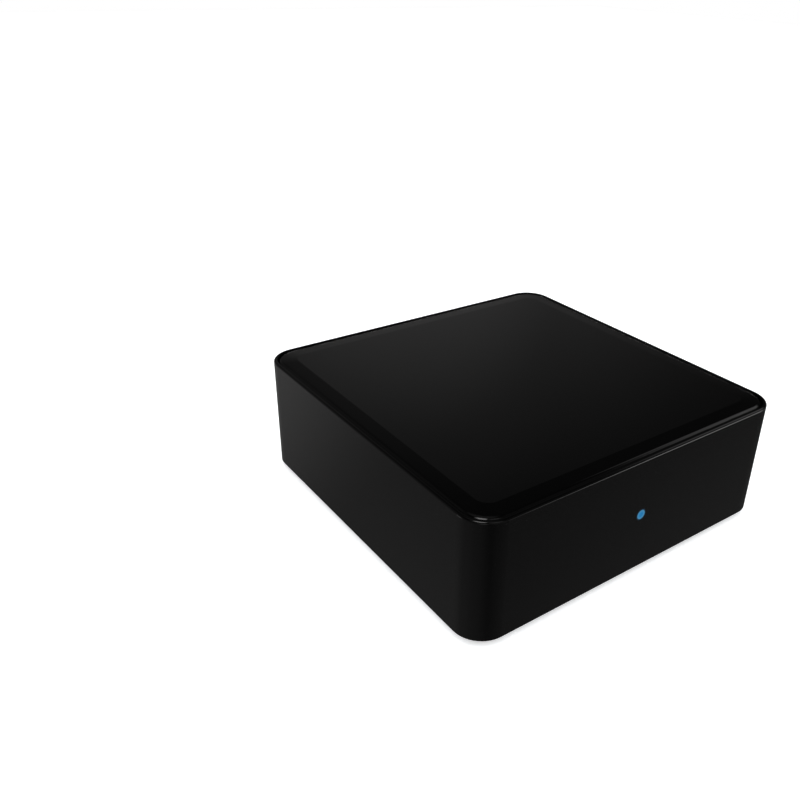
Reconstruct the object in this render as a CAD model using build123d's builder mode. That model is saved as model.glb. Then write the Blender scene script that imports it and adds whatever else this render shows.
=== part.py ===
from build123d import *
import os
from math import hypot

# Network music streamer, in millimetres. The front wall faces -Y and the table is z = 0.

# Housing: a moulded tub with a thin upper rim
body_width = 154.0
body_depth = 154.0
wall_height = 50.0
corner_radius = 12.0
wall = 2.4
floor_thickness = 2.4
rim_width = 1.5
rim_round = 0.9
base_round = 0.4

# Clearances: dropped in, pressed or screwed in, turning or sliding, and the overrun of every cut
seam = 0.3
press = 0.05
running = 0.05
overrun = 1.0

# Screw columns in the four corners, each with a deep well for a cover screw
column_inset = 12.0
column_radius = 4.75
well_radius = 3.2
well_depth = 21.5
well_shoulder = 2.6
rib_thickness = 1.2
rib_step = 2.0

# Thick rear frame that the connector panel is let into
rear_pad_thickness = 2.1
rear_pad_margin = 3.0
panel_inset = 16.0
panel_height = 36.0
panel_thickness = 1.5
panel_radius = 3.0
panel_lift = 5.5
window_side_flange = 5.5
window_top_flange = 4.0
window_sill = 0.6
panel_boss_radius = 2.75
panel_boss_length = 4.0

# Vent slots in the floor, and the seats of the feet
vent_length = 30.0
vent_width = 2.4
vent_pitch_x = 46.0
vent_pitch_y = 7.0
vent_rows = 9
foot_height = 2.5
foot_radius = 6.5
foot_seat = 0.5
foot_edge = 0.6
foot_inset_x = 28.0
foot_inset_y = 14.0

# Top cover: flat middle, shallow sloped border, rounded edge, skirt, bosses and ribs
cover_seat = 2.6
cover_rise = 0.4
cover_skin = 2.2
cover_border = 7.4
cover_border_drop = 0.55
plateau_radius = 5.5
cover_edge_round = 1.9
skirt_depth = 4.0
skirt_thickness = 1.6
cover_boss_radius = 3.4
cover_rib_height = 3.0
cover_rib_pitch = 44.0
pilot_depth = 10.0

# Screws: pan heads on plain shanks
cover_screw_radius = 1.5
cover_screw_grip = 8.5
cover_head_radius = 2.8
cover_head_height = 2.0
small_screw_radius = 1.25
small_screw_length = 5.0
small_head_radius = 2.4
small_head_height = 1.4
head_edge = 0.4

# Status light and the small upright board behind the front wall
lens_height = 25.4
lens_radius = 2.4
lens_tail_radius = 2.0
lens_flange_radius = 3.6
lens_flange = 1.0
led_width = 3.2
led_height = 2.8
led_depth = 1.9
led_taper = 4.0
front_board_gap = 7.0
front_board_width = 46.0
front_board_height = 20.0
front_board_drop = 8.0
front_post_width = 4.0
front_post_lip = 1.6
front_groove = 2.0
finger_width = 3.0
finger_depth = 6.0
finger_inset = 7.0
receiver_width = 5.6
receiver_height = 7.0
receiver_depth = 4.2
receiver_dome = 1.9
receiver_offset = 12.0

# Main board, its standoffs and its screws
board_side_gap = 19.6
board_front_gap = 38.0
board_thickness = 1.6
board_rear_gap = 0.5
board_corner = 1.5
standoff_height = 5.0
standoff_radius = 3.2
board_hole_inset = 4.5
board_hole_setback = 30.0

# Flat cable between the two boards, with its sockets
cable_offset = 8.0
cable_width = 6.0
cable_thickness = 0.9
cable_bend = 8.0
cable_run_shares = (0.3, 0.7)
socket_width = 9.0
socket_height = 4.0
socket_depth = 4.5
socket_slot_depth = 2.5
socket_setback = 2.5
front_socket_drop = 2.5

# Wireless module on the main board, with a shield can, and its wall antennas
module_width = 34.0
module_depth = 28.0
module_thickness = 1.0
module_share = 0.62
shield_width = 31.0
shield_depth = 18.0
shield_height = 2.6
shield_sheet = 0.3
shield_round = 1.0
shield_lead = 1.2
antenna_length = 36.0
antenna_height = 9.0
antenna_thickness = 0.8
antenna_lift = 18.0
lead_radius = 0.6
lead_bend = 8.0
lead_plug_radius = 1.3
lead_plug_height = 1.4
lead_plug_inset = 4.0

# Parts soldered to the main board, in rows with a free strip between them
row_gap = 5.0
capacitor_radius = 3.15
capacitor_height = 11.0
capacitor_edge = 0.5
capacitor_pitch = 9.0
capacitor_inset = 19.0
capacitors_per_side = 3
film_width = 7.2
film_height = 6.5
film_thickness = 2.8
film_pitch = 5.0
converter_size = 7.0
converter_height = 1.2
converter_inset = 21.0
converter_share = 0.66
amplifier_width = 4.0
amplifier_length = 5.0
amplifier_height = 1.6
amplifier_pitch = 12.0
crystal_length = 11.0
crystal_width = 4.6
crystal_height = 3.5
crystal_gap = 6.7
inductor_size = 10.0
inductor_height = 4.6
inductor_corner = 2.0
inductor_cap = 0.8
inductor_inset = 20.0
regulator_width = 6.6
regulator_length = 6.2
regulator_height = 2.3
regulator_tab_length = 2.0
regulator_tab_thickness = 0.6
regulator_gap = 5.2

# Phono jacks: two stacked blocks, each with two jacks
line_out_inset = 12.0
jack_column_pitch = 15.0
jack_reach = 8.5
jack_block_width = 11.0
jack_block_height = 28.0
jack_block_depth = 14.0
jack_block_step = 3.0
jack_pitch = 14.0
jack_low = 7.2
sleeve_radius = 4.15
sleeve_wall = 0.5
sleeve_seat = 3.0
sleeve_edge = 0.2
insulator_recess = 0.6
insulator_lead_in = 0.5
contact_radius = 2.05
contact_bore = 1.65
contact_recess = 1.0
panel_hole_gap = 0.45

# Optical sockets with a hinged shutter behind the mouth
optical_out_x = -20.0
optical_in_x = -7.0
optical_width = 10.4
optical_proud = 0.4
mouth_width = 7.8
mouth_height = 7.9
mouth_floor = 1.3
mouth_lip = 1.0
mouth_chamfer = 0.5
optical_roof = 0.9
optical_back = 1.2
shutter_thickness = 0.8
shutter_lap = 0.3
shutter_gap = 0.1
shutter_side_gap = 0.2
hinge_radius = 0.8
hinge_pin_radius = 0.45
hinge_pin_length = 0.6
element_width = 8.0
element_height = 8.4
element_depth = 3.4
element_nose_radius = 1.1

# Ethernet jack
ethernet_pitch = 15.0
ethernet_width = 16.0
ethernet_height = 13.4
ethernet_depth = 21.0
ethernet_proud = 0.4
ethernet_sheet = 0.3
ethernet_corner = 0.5
plug_width = 11.9
plug_height = 6.9
plug_depth = 13.0
plug_floor = 4.0
latch_width = 6.2
latch_height = 1.5
latch_step_width = 3.4
latch_step_height = 1.2
wire_pitch = 1.02
wire_width = 0.45
wire_thickness = 0.35
wire_count = 8
wire_root = 2.0
wire_reach = 10.5
wire_drop = 2.0
wire_bend = 0.6
eye_width = 3.2
eye_height = 1.5
eye_depth = 1.0
eye_spacing = 10.0
eye_inset = 0.5

# USB socket
usb_x = 17.0
usb_width = 13.1
usb_height = 5.8
usb_depth = 14.0
usb_proud = 0.4
usb_sheet = 0.35
usb_corner = 0.6
usb_tongue_width = 11.1
usb_tongue_thickness = 1.9
usb_tongue_length = 8.8
usb_tongue_drop = 0.6
usb_block_length = 4.2
usb_contact_width = 1.0
usb_contact_thickness = 0.25
usb_contact_length = 7.4
usb_contact_pitch = 2.4
usb_contact_count = 4
usb_slot_width = 1.6
usb_slot_length = 4.0
usb_slot_pitch = 6.0
usb_slot_setback = 5.0

# Power inlet
power_inset = 11.0
power_width = 9.2
power_height = 11.0
power_depth = 14.2
power_front_length = 4.0
power_back_height = 8.8
power_axis_height = 6.2
power_collar_radius = 4.0
power_bore = 3.15
power_bore_depth = 10.0
power_pin_radius = 1.05
power_pin_recess = 1.2
power_spring_width = 2.6
power_spring_thickness = 0.4
power_spring_length = 7.0
power_slot_depth = 0.8

# Setup button and its side-push switch
setup_x = 4.5
setup_lift = 5.2
button_radius = 2.3
button_proud = 0.9
button_edge = 0.4
button_flange_radius = 3.1
button_flange = 0.8
button_stem_radius = 1.6
button_stem = 1.5
button_gap = 0.2
button_travel = 0.5
plunger_radius = 1.7
plunger_length = 1.0
plunger_tail = 0.6
switch_width = 6.2
switch_height = 7.6
switch_depth = 3.8

# Places worked out from the sizes above
housing_y = -jack_reach / 2
front_y = housing_y - body_depth / 2
back_y = housing_y + body_depth / 2
floor_z = foot_height
inner_floor_z = floor_z + floor_thickness
rim_z = floor_z + wall_height
ledge_z = rim_z - cover_seat
cover_top_z = rim_z + cover_rise
cover_under_z = cover_top_z - cover_skin
skirt_z = ledge_z - skirt_depth
well_top_z = floor_z + well_depth
column_top_z = well_top_z + well_shoulder
inner_width = body_width - 2 * wall
inner_depth = body_depth - 2 * wall
front_inner_y = front_y + wall
back_inner_y = back_y - wall
column_x = body_width / 2 - column_inset
column_y = body_depth / 2 - column_inset
rear_pad_y = back_inner_y - rear_pad_thickness
rear_pad_top_z = skirt_z - seam
panel_inner_y = back_y - panel_thickness
panel_width = body_width - 2 * panel_inset
panel_bottom_z = floor_z + panel_lift
panel_z = panel_bottom_z + panel_height / 2
board_bottom_z = inner_floor_z + standoff_height
board_z = board_bottom_z + board_thickness
board_back_y = rear_pad_y - board_rear_gap
front_board_y = front_inner_y + front_board_gap
front_board_back_y = front_board_y + board_thickness
board_front_y = front_board_back_y + board_front_gap
board_width = inner_width - 2 * board_side_gap
board_depth = board_back_y - board_front_y
board_y = (board_back_y + board_front_y) / 2
panel_screw_x = panel_width / 2 + seam - window_side_flange / 2
panel_screw_rise = panel_height / 2 - window_side_flange / 2
hole_x = board_width / 2 - board_hole_inset
hole_rear_y = board_back_y - board_hole_setback
hole_front_y = board_front_y + board_hole_inset
hole_y = (hole_rear_y + hole_front_y) / 2
hole_pitch_y = hole_rear_y - hole_front_y
lens_z = floor_z + lens_height
front_board_bottom_z = lens_z - front_board_drop
front_board_top_z = front_board_bottom_z + front_board_height

line_out_x = line_out_inset - panel_width / 2
line_in_x = line_out_x + jack_column_pitch
power_x = panel_width / 2 - power_inset
ethernet_x = power_x - ethernet_pitch
jack_back_setback = board_back_y - panel_inner_y + jack_block_depth
film_setback = jack_back_setback + row_gap + (film_pitch + film_thickness) / 2
amplifier_setback = film_setback + (film_pitch + film_thickness + amplifier_length) / 2 + row_gap
capacitor_setback = amplifier_setback + amplifier_length / 2 + row_gap + capacitor_radius
capacitor_offset = board_width / 2 - capacitor_inset
converter_setback = converter_share * board_depth
converter_offset = board_width / 2 - converter_inset
crystal_setback = converter_setback + (converter_size + crystal_width) / 2 + crystal_gap
ethernet_back_setback = board_back_y - back_y - ethernet_proud + ethernet_depth
inductor_setback = ethernet_back_setback + row_gap + inductor_size / 2
inductor_offset = board_width / 2 - inductor_inset
regulator_offset = inductor_offset - (inductor_size + regulator_width) / 2 - regulator_gap


def level(height):
    """A level plane on the housing's middle, at a height above the table."""
    return Plane((0, housing_y, height))


def board_level(height):
    """A level plane on the main board's middle."""
    return Plane((0, board_y, height))


def upright(y):
    """An upright plane across the housing, drawn in X and Z, whose normal points to the front."""
    return Plane((0, y, 0), x_dir=(1, 0, 0), z_dir=(0, -1, 0))


def sideways(x):
    """An upright plane from front to back, drawn in Y and Z, whose normal points to +X."""
    return Plane((x, 0, 0), x_dir=(0, 1, 0), z_dir=(1, 0, 0))


def setback(distance):
    """The main board's own Y for a place this far in front of its rear edge."""
    return board_depth / 2 - distance


os.makedirs("parts", exist_ok=True)

# Housing: the tub, hollowed, with a ledge for the cover inside its rim
with BuildPart() as housing:
    with BuildSketch(level(floor_z)):
        RectangleRounded(body_width, body_depth, corner_radius)
    extrude(amount=wall_height)
    fillet(housing.faces().sort_by(Axis.Z)[-1].edges(), radius=rim_round)
    fillet(housing.faces().sort_by(Axis.Z)[0].edges(), radius=base_round)
    with BuildSketch(level(inner_floor_z)):
        RectangleRounded(inner_width, inner_depth, corner_radius - wall)
    extrude(amount=wall_height, mode=Mode.SUBTRACT)
    with BuildSketch(level(ledge_z)):
        RectangleRounded(
            body_width - 2 * rim_width, body_depth - 2 * rim_width, corner_radius - rim_width
        )
    extrude(amount=cover_seat + overrun, mode=Mode.SUBTRACT)
    # Thick frame behind the rear panel, with bosses for the panel's screws
    with BuildSketch(upright(back_inner_y)):
        with Locations((0, inner_floor_z)):
            Rectangle(
                panel_width + 2 * rear_pad_margin,
                rear_pad_top_z - inner_floor_z,
                align=(Align.CENTER, Align.MIN),
            )
    extrude(amount=rear_pad_thickness)
    with BuildSketch(upright(rear_pad_y)):
        with Locations((0, panel_z)):
            with GridLocations(2 * panel_screw_x, 2 * panel_screw_rise, 2, 2):
                Circle(panel_boss_radius)
    extrude(amount=panel_boss_length)
    # Corner columns with two ribs each
    rib_x = (column_x + inner_width / 2) / 2
    rib_y = (column_y + inner_depth / 2) / 2
    with BuildSketch(level(inner_floor_z)):
        with GridLocations(2 * column_x, 2 * column_y, 2, 2):
            Circle(column_radius)
    extrude(amount=column_top_z - inner_floor_z)
    with BuildSketch(level(inner_floor_z)):
        with GridLocations(2 * rib_x, 2 * column_y, 2, 2):
            Rectangle(inner_width / 2 - column_x, rib_thickness)
        with GridLocations(2 * column_x, 2 * rib_y, 2, 2):
            Rectangle(rib_thickness, inner_depth / 2 - column_y)
    extrude(amount=column_top_z - rib_step - inner_floor_z)
    # Standoffs under the main board
    with BuildSketch(Plane((0, hole_y, inner_floor_z))):
        with GridLocations(2 * hole_x, hole_pitch_y, 2, 2):
            Circle(standoff_radius)
    extrude(amount=standoff_height)
    # Two grooved posts that hold the front board
    post_x = front_board_width / 2 + seam - front_groove + front_post_width / 2
    post_depth = front_board_gap + board_thickness + front_post_lip
    with BuildSketch(Plane((0, front_inner_y, inner_floor_z))):
        with GridLocations(2 * post_x, 0, 2, 1):
            Rectangle(front_post_width, post_depth, align=(Align.CENTER, Align.MIN))
    extrude(amount=front_board_top_z - inner_floor_z)
    with BuildSketch(Plane((0, front_board_y - running, front_board_bottom_z))):
        Rectangle(
            front_board_width + 2 * seam,
            board_thickness + 2 * running,
            align=(Align.CENTER, Align.MIN),
        )
    extrude(amount=front_board_height + overrun, mode=Mode.SUBTRACT)
    # Rebate and window for the rear panel
    with BuildSketch(upright(back_y + overrun)):
        with Locations((0, panel_z)):
            RectangleRounded(panel_width + 2 * seam, panel_height + 2 * seam, panel_radius + seam)
    extrude(amount=panel_thickness + overrun, mode=Mode.SUBTRACT)
    window_bottom_z = board_z - window_sill
    window_top_z = panel_bottom_z + panel_height - window_top_flange
    with BuildSketch(upright(back_y)):
        with Locations((0, window_bottom_z)):
            Rectangle(
                panel_width - 2 * window_side_flange,
                window_top_z - window_bottom_z,
                align=(Align.CENTER, Align.MIN),
            )
    extrude(amount=wall + rear_pad_thickness + overrun, mode=Mode.SUBTRACT)
    # Screw holes: panel, board and the corner wells
    with BuildSketch(upright(back_y)):
        with Locations((0, panel_z)):
            with GridLocations(2 * panel_screw_x, 2 * panel_screw_rise, 2, 2):
                Circle(small_screw_radius + press)
    extrude(amount=panel_thickness + small_screw_length + press, mode=Mode.SUBTRACT)
    with BuildSketch(Plane((0, hole_y, inner_floor_z))):
        with GridLocations(2 * hole_x, hole_pitch_y, 2, 2):
            Circle(small_screw_radius + press)
    extrude(amount=standoff_height + overrun, mode=Mode.SUBTRACT)
    with BuildSketch(level(floor_z)):
        with GridLocations(2 * column_x, 2 * column_y, 2, 2):
            Circle(well_radius)
    extrude(amount=well_depth, mode=Mode.SUBTRACT)
    with BuildSketch(level(well_top_z)):
        with GridLocations(2 * column_x, 2 * column_y, 2, 2):
            Circle(cover_screw_radius + seam)
    extrude(amount=well_shoulder + overrun, mode=Mode.SUBTRACT)
    # Lens hole, vent slots and seats for the feet
    with BuildSketch(upright(front_inner_y + overrun)):
        with Locations((0, lens_z)):
            Circle(lens_radius + press)
    extrude(amount=wall + 2 * overrun, mode=Mode.SUBTRACT)
    with BuildSketch(Plane((0, board_y, floor_z - overrun))):
        with GridLocations(vent_pitch_x, vent_pitch_y, 2, vent_rows):
            SlotOverall(vent_length, vent_width)
    extrude(amount=floor_thickness + 2 * overrun, mode=Mode.SUBTRACT)
    with BuildSketch(level(floor_z - overrun)):
        with GridLocations(body_width - 2 * foot_inset_x, body_depth - 2 * foot_inset_y, 2, 2):
            Circle(foot_radius + press)
    extrude(amount=foot_seat + overrun, mode=Mode.SUBTRACT)
housing.part.label = "housing"
export_step(housing.part, "parts/housing.step")

# Top cover: a plate whose border slopes from the flat middle, with its edge rounded
cover_width = body_width - 2 * (rim_width + seam)
cover_depth = body_depth - 2 * (rim_width + seam)
cover_radius = corner_radius - rim_width - seam
skirt_width = inner_width - 2 * seam
skirt_length = inner_depth - 2 * seam
skirt_radius = corner_radius - wall - seam
with BuildPart() as top_cover:
    with BuildSketch(level(ledge_z)):
        RectangleRounded(cover_width, cover_depth, cover_radius)
    extrude(amount=cover_seat + cover_rise - cover_border_drop)
    with BuildSketch(level(cover_top_z - cover_border_drop)):
        RectangleRounded(cover_width, cover_depth, cover_radius)
    with BuildSketch(level(cover_top_z)):
        RectangleRounded(
            cover_width - 2 * cover_border, cover_depth - 2 * cover_border, plateau_radius
        )
    loft(ruled=True)
    # Upwards: the border's outline, its slanting corner lines, then the outline of the flat middle
    fillet(top_cover.edges().group_by(Axis.Z)[-3], radius=cover_edge_round)
    with BuildSketch(level(skirt_z)):
        RectangleRounded(skirt_width, skirt_length, skirt_radius)
    extrude(amount=skirt_depth)
    with BuildSketch(level(skirt_z)):
        RectangleRounded(
            skirt_width - 2 * skirt_thickness,
            skirt_length - 2 * skirt_thickness,
            skirt_radius - skirt_thickness,
        )
    extrude(amount=cover_under_z - skirt_z, mode=Mode.SUBTRACT)
    # Stiffening ribs, screw bosses and the fingers that hold the front board down
    with BuildSketch(level(cover_under_z - cover_rib_height)):
        with GridLocations(cover_rib_pitch, 0, 2, 1):
            Rectangle(rib_thickness, skirt_length - skirt_thickness)
        with GridLocations(0, cover_rib_pitch, 1, 2):
            Rectangle(skirt_width - skirt_thickness, rib_thickness)
    extrude(amount=cover_rib_height)
    with BuildSketch(level(column_top_z)):
        with GridLocations(2 * column_x, 2 * column_y, 2, 2):
            Circle(cover_boss_radius)
    extrude(amount=cover_under_z - column_top_z)
    with BuildSketch(Plane((0, front_board_y + board_thickness / 2, front_board_top_z + seam))):
        with GridLocations(front_board_width - 2 * finger_inset, 0, 2, 1):
            Rectangle(finger_width, finger_depth)
    extrude(amount=cover_under_z - front_board_top_z - seam)
    with BuildSketch(level(column_top_z)):
        with GridLocations(2 * column_x, 2 * column_y, 2, 2):
            Circle(cover_screw_radius + press)
    extrude(amount=pilot_depth, mode=Mode.SUBTRACT)
top_cover.part.label = "top_cover"
export_step(top_cover.part, "parts/top_cover.step")

# Four long screws that hold the cover from below
with BuildPart() as cover_screws:
    with BuildSketch(level(well_top_z - cover_head_height)):
        with GridLocations(2 * column_x, 2 * column_y, 2, 2):
            Circle(cover_head_radius)
    extrude(amount=cover_head_height)
    chamfer(cover_screws.edges().group_by(Axis.Z)[0], length=head_edge)
    with BuildSketch(level(well_top_z)):
        with GridLocations(2 * column_x, 2 * column_y, 2, 2):
            Circle(cover_screw_radius)
    extrude(amount=well_shoulder + cover_screw_grip)
cover_screws.part.label = "cover_screws"
export_step(cover_screws.part, "parts/cover_screws.step")

# Four rubber feet, set a little into the floor
with BuildPart() as rubber_feet:
    with BuildSketch(level(0)):
        with GridLocations(body_width - 2 * foot_inset_x, body_depth - 2 * foot_inset_y, 2, 2):
            Circle(foot_radius)
    extrude(amount=foot_height + foot_seat)
    chamfer(rubber_feet.edges().group_by(Axis.Z)[0], length=foot_edge)
rubber_feet.part.label = "rubber_feet"
export_step(rubber_feet.part, "parts/rubber_feet.step")

# Heights and depths of the rear sockets
jack_heights = (board_z + jack_low, board_z + jack_low + jack_pitch)
jack_screw_z = sum(jack_heights) / 2
jack_columns = (line_out_x, line_in_x)
jack_points = [(x, z) for x in jack_columns for z in jack_heights]
mouth_bottom_z = board_z + mouth_floor
mouth_top_z = mouth_bottom_z + mouth_height
hinge_z = mouth_top_z + shutter_gap + hinge_radius
chamber_bottom_z = mouth_bottom_z - shutter_lap - seam
chamber_top_z = hinge_z + hinge_radius + seam
optical_height = chamber_top_z + optical_roof - board_z
setup_z = board_z + setup_lift
power_z = board_z + power_axis_height

# Rear panel: a flat plate let into the housing, cut out for every socket
with BuildPart() as rear_panel:
    with BuildSketch(upright(back_y)):
        with Locations((0, panel_z)):
            RectangleRounded(panel_width, panel_height, panel_radius)
            with GridLocations(2 * panel_screw_x, 2 * panel_screw_rise, 2, 2):
                Circle(small_screw_radius + seam, mode=Mode.SUBTRACT)
        with Locations(*jack_points):
            Circle(sleeve_radius + panel_hole_gap, mode=Mode.SUBTRACT)
        with Locations(*[(x, jack_screw_z) for x in jack_columns]):
            Circle(small_screw_radius + seam, mode=Mode.SUBTRACT)
        with Locations((setup_x, setup_z)):
            Circle(button_radius + button_gap, mode=Mode.SUBTRACT)
        with Locations((power_x, power_z)):
            Circle(power_collar_radius + seam, mode=Mode.SUBTRACT)
        with Locations(*[(x, board_z - seam) for x in (optical_in_x, optical_out_x)]):
            Rectangle(
                optical_width + 2 * seam,
                optical_height + 2 * seam,
                align=(Align.CENTER, Align.MIN),
                mode=Mode.SUBTRACT,
            )
        with Locations((ethernet_x, board_z - seam)):
            Rectangle(
                ethernet_width + 2 * seam,
                ethernet_height + 2 * seam,
                align=(Align.CENTER, Align.MIN),
                mode=Mode.SUBTRACT,
            )
        with Locations((usb_x, board_z - seam)):
            Rectangle(
                usb_width + 2 * seam,
                usb_height + 2 * seam,
                align=(Align.CENTER, Align.MIN),
                mode=Mode.SUBTRACT,
            )
    extrude(amount=panel_thickness)
rear_panel.part.label = "rear_panel"
export_step(rear_panel.part, "parts/rear_panel.step")

# Screws of the rear panel into the housing, and into the two jack blocks
with BuildPart() as rear_panel_screws:
    with BuildSketch(upright(back_y + small_head_height)):
        with Locations((0, panel_z)):
            with GridLocations(2 * panel_screw_x, 2 * panel_screw_rise, 2, 2):
                Circle(small_head_radius)
    extrude(amount=small_head_height)
    chamfer(rear_panel_screws.edges().group_by(Axis.Y)[-1], length=head_edge)
    with BuildSketch(upright(back_y)):
        with Locations((0, panel_z)):
            with GridLocations(2 * panel_screw_x, 2 * panel_screw_rise, 2, 2):
                Circle(small_screw_radius)
    extrude(amount=panel_thickness + small_screw_length)
rear_panel_screws.part.label = "rear_panel_screws"
export_step(rear_panel_screws.part, "parts/rear_panel_screws.step")

with BuildPart() as jack_screws:
    with BuildSketch(upright(back_y + small_head_height)):
        with Locations(*[(x, jack_screw_z) for x in jack_columns]):
            Circle(small_head_radius)
    extrude(amount=small_head_height)
    chamfer(jack_screws.edges().group_by(Axis.Y)[-1], length=head_edge)
    with BuildSketch(upright(back_y)):
        with Locations(*[(x, jack_screw_z) for x in jack_columns]):
            Circle(small_screw_radius)
    extrude(amount=panel_thickness + small_screw_length)
jack_screws.part.label = "jack_screws"
export_step(jack_screws.part, "parts/jack_screws.step")

# Status lens: a stepped light pipe, flush with the front wall
lens_tail = front_board_gap - led_depth - seam
with BuildPart() as status_lens:
    with BuildSketch(upright(front_inner_y)):
        with Locations((0, lens_z)):
            Circle(lens_radius)
    extrude(amount=wall)
    with BuildSketch(upright(front_inner_y + lens_flange)):
        with Locations((0, lens_z)):
            Circle(lens_flange_radius)
    extrude(amount=lens_flange)
    with BuildSketch(upright(front_inner_y + lens_tail)):
        with Locations((0, lens_z)):
            Circle(lens_tail_radius)
    extrude(amount=lens_tail)
status_lens.part.label = "status_lens"
export_step(status_lens.part, "parts/status_lens.step")

# Light-emitting diode on the front board
with BuildPart() as status_led:
    with BuildSketch(upright(front_board_y)):
        with Locations((0, lens_z)):
            Rectangle(led_width, led_height)
    extrude(amount=led_depth, taper=led_taper)
status_led.part.label = "status_led"
export_step(status_led.part, "parts/status_led.step")

# Infrared receiver: a block with a domed face towards the wall
with BuildPart() as infrared_receiver:
    with BuildSketch(upright(front_board_y)):
        with Locations((-receiver_offset, lens_z)):
            Rectangle(receiver_width, receiver_height)
    extrude(amount=receiver_depth)
    with BuildSketch(Plane((-receiver_offset, front_board_y - receiver_depth, lens_z))):
        Circle(receiver_dome)
        with Locations((0, receiver_dome)):
            Rectangle(2 * receiver_dome, 2 * receiver_dome, mode=Mode.SUBTRACT)
    extrude(amount=receiver_dome, both=True)
infrared_receiver.part.label = "infrared_receiver"
export_step(infrared_receiver.part, "parts/infrared_receiver.step")

# Front board, upright in its two posts
with BuildPart() as front_board:
    with BuildSketch(upright(front_board_back_y)):
        with Locations((0, front_board_bottom_z)):
            Rectangle(front_board_width, front_board_height, align=(Align.CENTER, Align.MIN))
    extrude(amount=board_thickness)
front_board.part.label = "front_board"
export_step(front_board.part, "parts/front_board.step")

# Main board with its four screw holes
with BuildPart() as main_board:
    with BuildSketch(board_level(board_bottom_z)):
        RectangleRounded(board_width, board_depth, board_corner)
        with Locations((0, hole_y - board_y)):
            with GridLocations(2 * hole_x, hole_pitch_y, 2, 2):
                Circle(small_screw_radius + seam, mode=Mode.SUBTRACT)
    extrude(amount=board_thickness)
main_board.part.label = "main_board"
export_step(main_board.part, "parts/main_board.step")

with BuildPart() as main_board_screws:
    with BuildSketch(Plane((0, hole_y, board_z))):
        with GridLocations(2 * hole_x, hole_pitch_y, 2, 2):
            Circle(small_head_radius)
    extrude(amount=small_head_height)
    chamfer(main_board_screws.edges().group_by(Axis.Z)[-1], length=head_edge)
    with BuildSketch(Plane((0, hole_y, board_z - small_screw_length))):
        with GridLocations(2 * hole_x, hole_pitch_y, 2, 2):
            Circle(small_screw_radius)
    extrude(amount=small_screw_length)
main_board_screws.part.label = "main_board_screws"
export_step(main_board_screws.part, "parts/main_board_screws.step")

# Flat cable between a socket behind the front board and one at the main board's front edge
front_socket_z = lens_z - front_socket_drop
front_socket_y = front_board_back_y + socket_depth
board_socket_z = board_z + socket_height / 2
board_socket_y = board_front_y + socket_setback
with BuildPart() as cable_sockets:
    with BuildSketch(upright(front_socket_y)):
        with Locations((cable_offset, front_socket_z)):
            Rectangle(socket_width, socket_height)
    extrude(amount=socket_depth)
    with BuildSketch(upright(board_socket_y + socket_depth)):
        with Locations((cable_offset, board_socket_z)):
            Rectangle(socket_width, socket_height)
    extrude(amount=socket_depth)
    with BuildSketch(upright(front_socket_y)):
        with Locations((cable_offset, front_socket_z)):
            Rectangle(cable_width + 2 * press, cable_thickness + 2 * press)
    extrude(amount=socket_slot_depth, mode=Mode.SUBTRACT)
    with BuildSketch(upright(board_socket_y + socket_slot_depth)):
        with Locations((cable_offset, board_socket_z)):
            Rectangle(cable_width + 2 * press, cable_thickness + 2 * press)
    extrude(amount=socket_slot_depth, mode=Mode.SUBTRACT)
cable_sockets.part.label = "cable_sockets"
export_step(cable_sockets.part, "parts/cable_sockets.step")

cable_start_y = front_socket_y - socket_slot_depth
cable_end_y = board_socket_y + socket_slot_depth
cable_run = cable_end_y - cable_start_y
cable_bends_y = [cable_start_y + share * cable_run for share in cable_run_shares]
with BuildPart() as front_board_cable:
    with BuildSketch(sideways(cable_offset)):
        with BuildLine():
            FilletPolyline(
                (cable_start_y, front_socket_z),
                (cable_bends_y[0], front_socket_z),
                (cable_bends_y[1], board_socket_z),
                (cable_end_y, board_socket_z),
                radius=cable_bend,
            )
        trace(line_width=cable_thickness)
    extrude(amount=cable_width / 2, both=True)
front_board_cable.part.label = "front_board_cable"
export_step(front_board_cable.part, "parts/front_board_cable.step")

# Wireless module soldered flat on the main board, with its shield can
module_y = board_y + setback(module_share * board_depth)
module_top_z = board_z + module_thickness
shield_y = module_y - (module_depth - shield_depth) / 2 + shield_lead
with BuildPart() as wireless_module:
    with BuildSketch(Plane((0, module_y, board_z))):
        Rectangle(module_width, module_depth)
    extrude(amount=module_thickness)
wireless_module.part.label = "wireless_module"
export_step(wireless_module.part, "parts/wireless_module.step")

with BuildPart() as module_shield:
    with BuildSketch(Plane((0, shield_y, module_top_z))):
        RectangleRounded(shield_width, shield_depth, shield_round)
    extrude(amount=shield_height)
    with BuildSketch(Plane((0, shield_y, module_top_z))):
        RectangleRounded(
            shield_width - 2 * shield_sheet,
            shield_depth - 2 * shield_sheet,
            shield_round - shield_sheet,
        )
    extrude(amount=shield_height - shield_sheet, mode=Mode.SUBTRACT)
module_shield.part.label = "module_shield"
export_step(module_shield.part, "parts/module_shield.step")

# Antennas: two thin boards stuck to the side walls, each with a lead from the module
lead_y = module_y + module_depth / 2 - lead_plug_inset
plug_x = module_width / 2 - lead_plug_inset
lead_z = module_top_z + lead_plug_height / 2
antenna_z = lead_z + antenna_lift
antenna_face_x = inner_width / 2 - antenna_thickness
lead_x = antenna_face_x - lead_radius - press
with BuildPart() as antennas:
    with BuildSketch(sideways(-inner_width / 2), sideways(antenna_face_x)):
        with Locations((lead_y, antenna_z)):
            Rectangle(antenna_length, antenna_height)
    extrude(amount=antenna_thickness)
antennas.part.label = "antennas"
export_step(antennas.part, "parts/antennas.step")

with BuildPart() as lead_plugs:
    with BuildSketch(Plane((0, lead_y, module_top_z))):
        with GridLocations(2 * plug_x, 0, 2, 1):
            Circle(lead_plug_radius)
    extrude(amount=lead_plug_height)
lead_plugs.part.label = "lead_plugs"
export_step(lead_plugs.part, "parts/lead_plugs.step")

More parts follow.
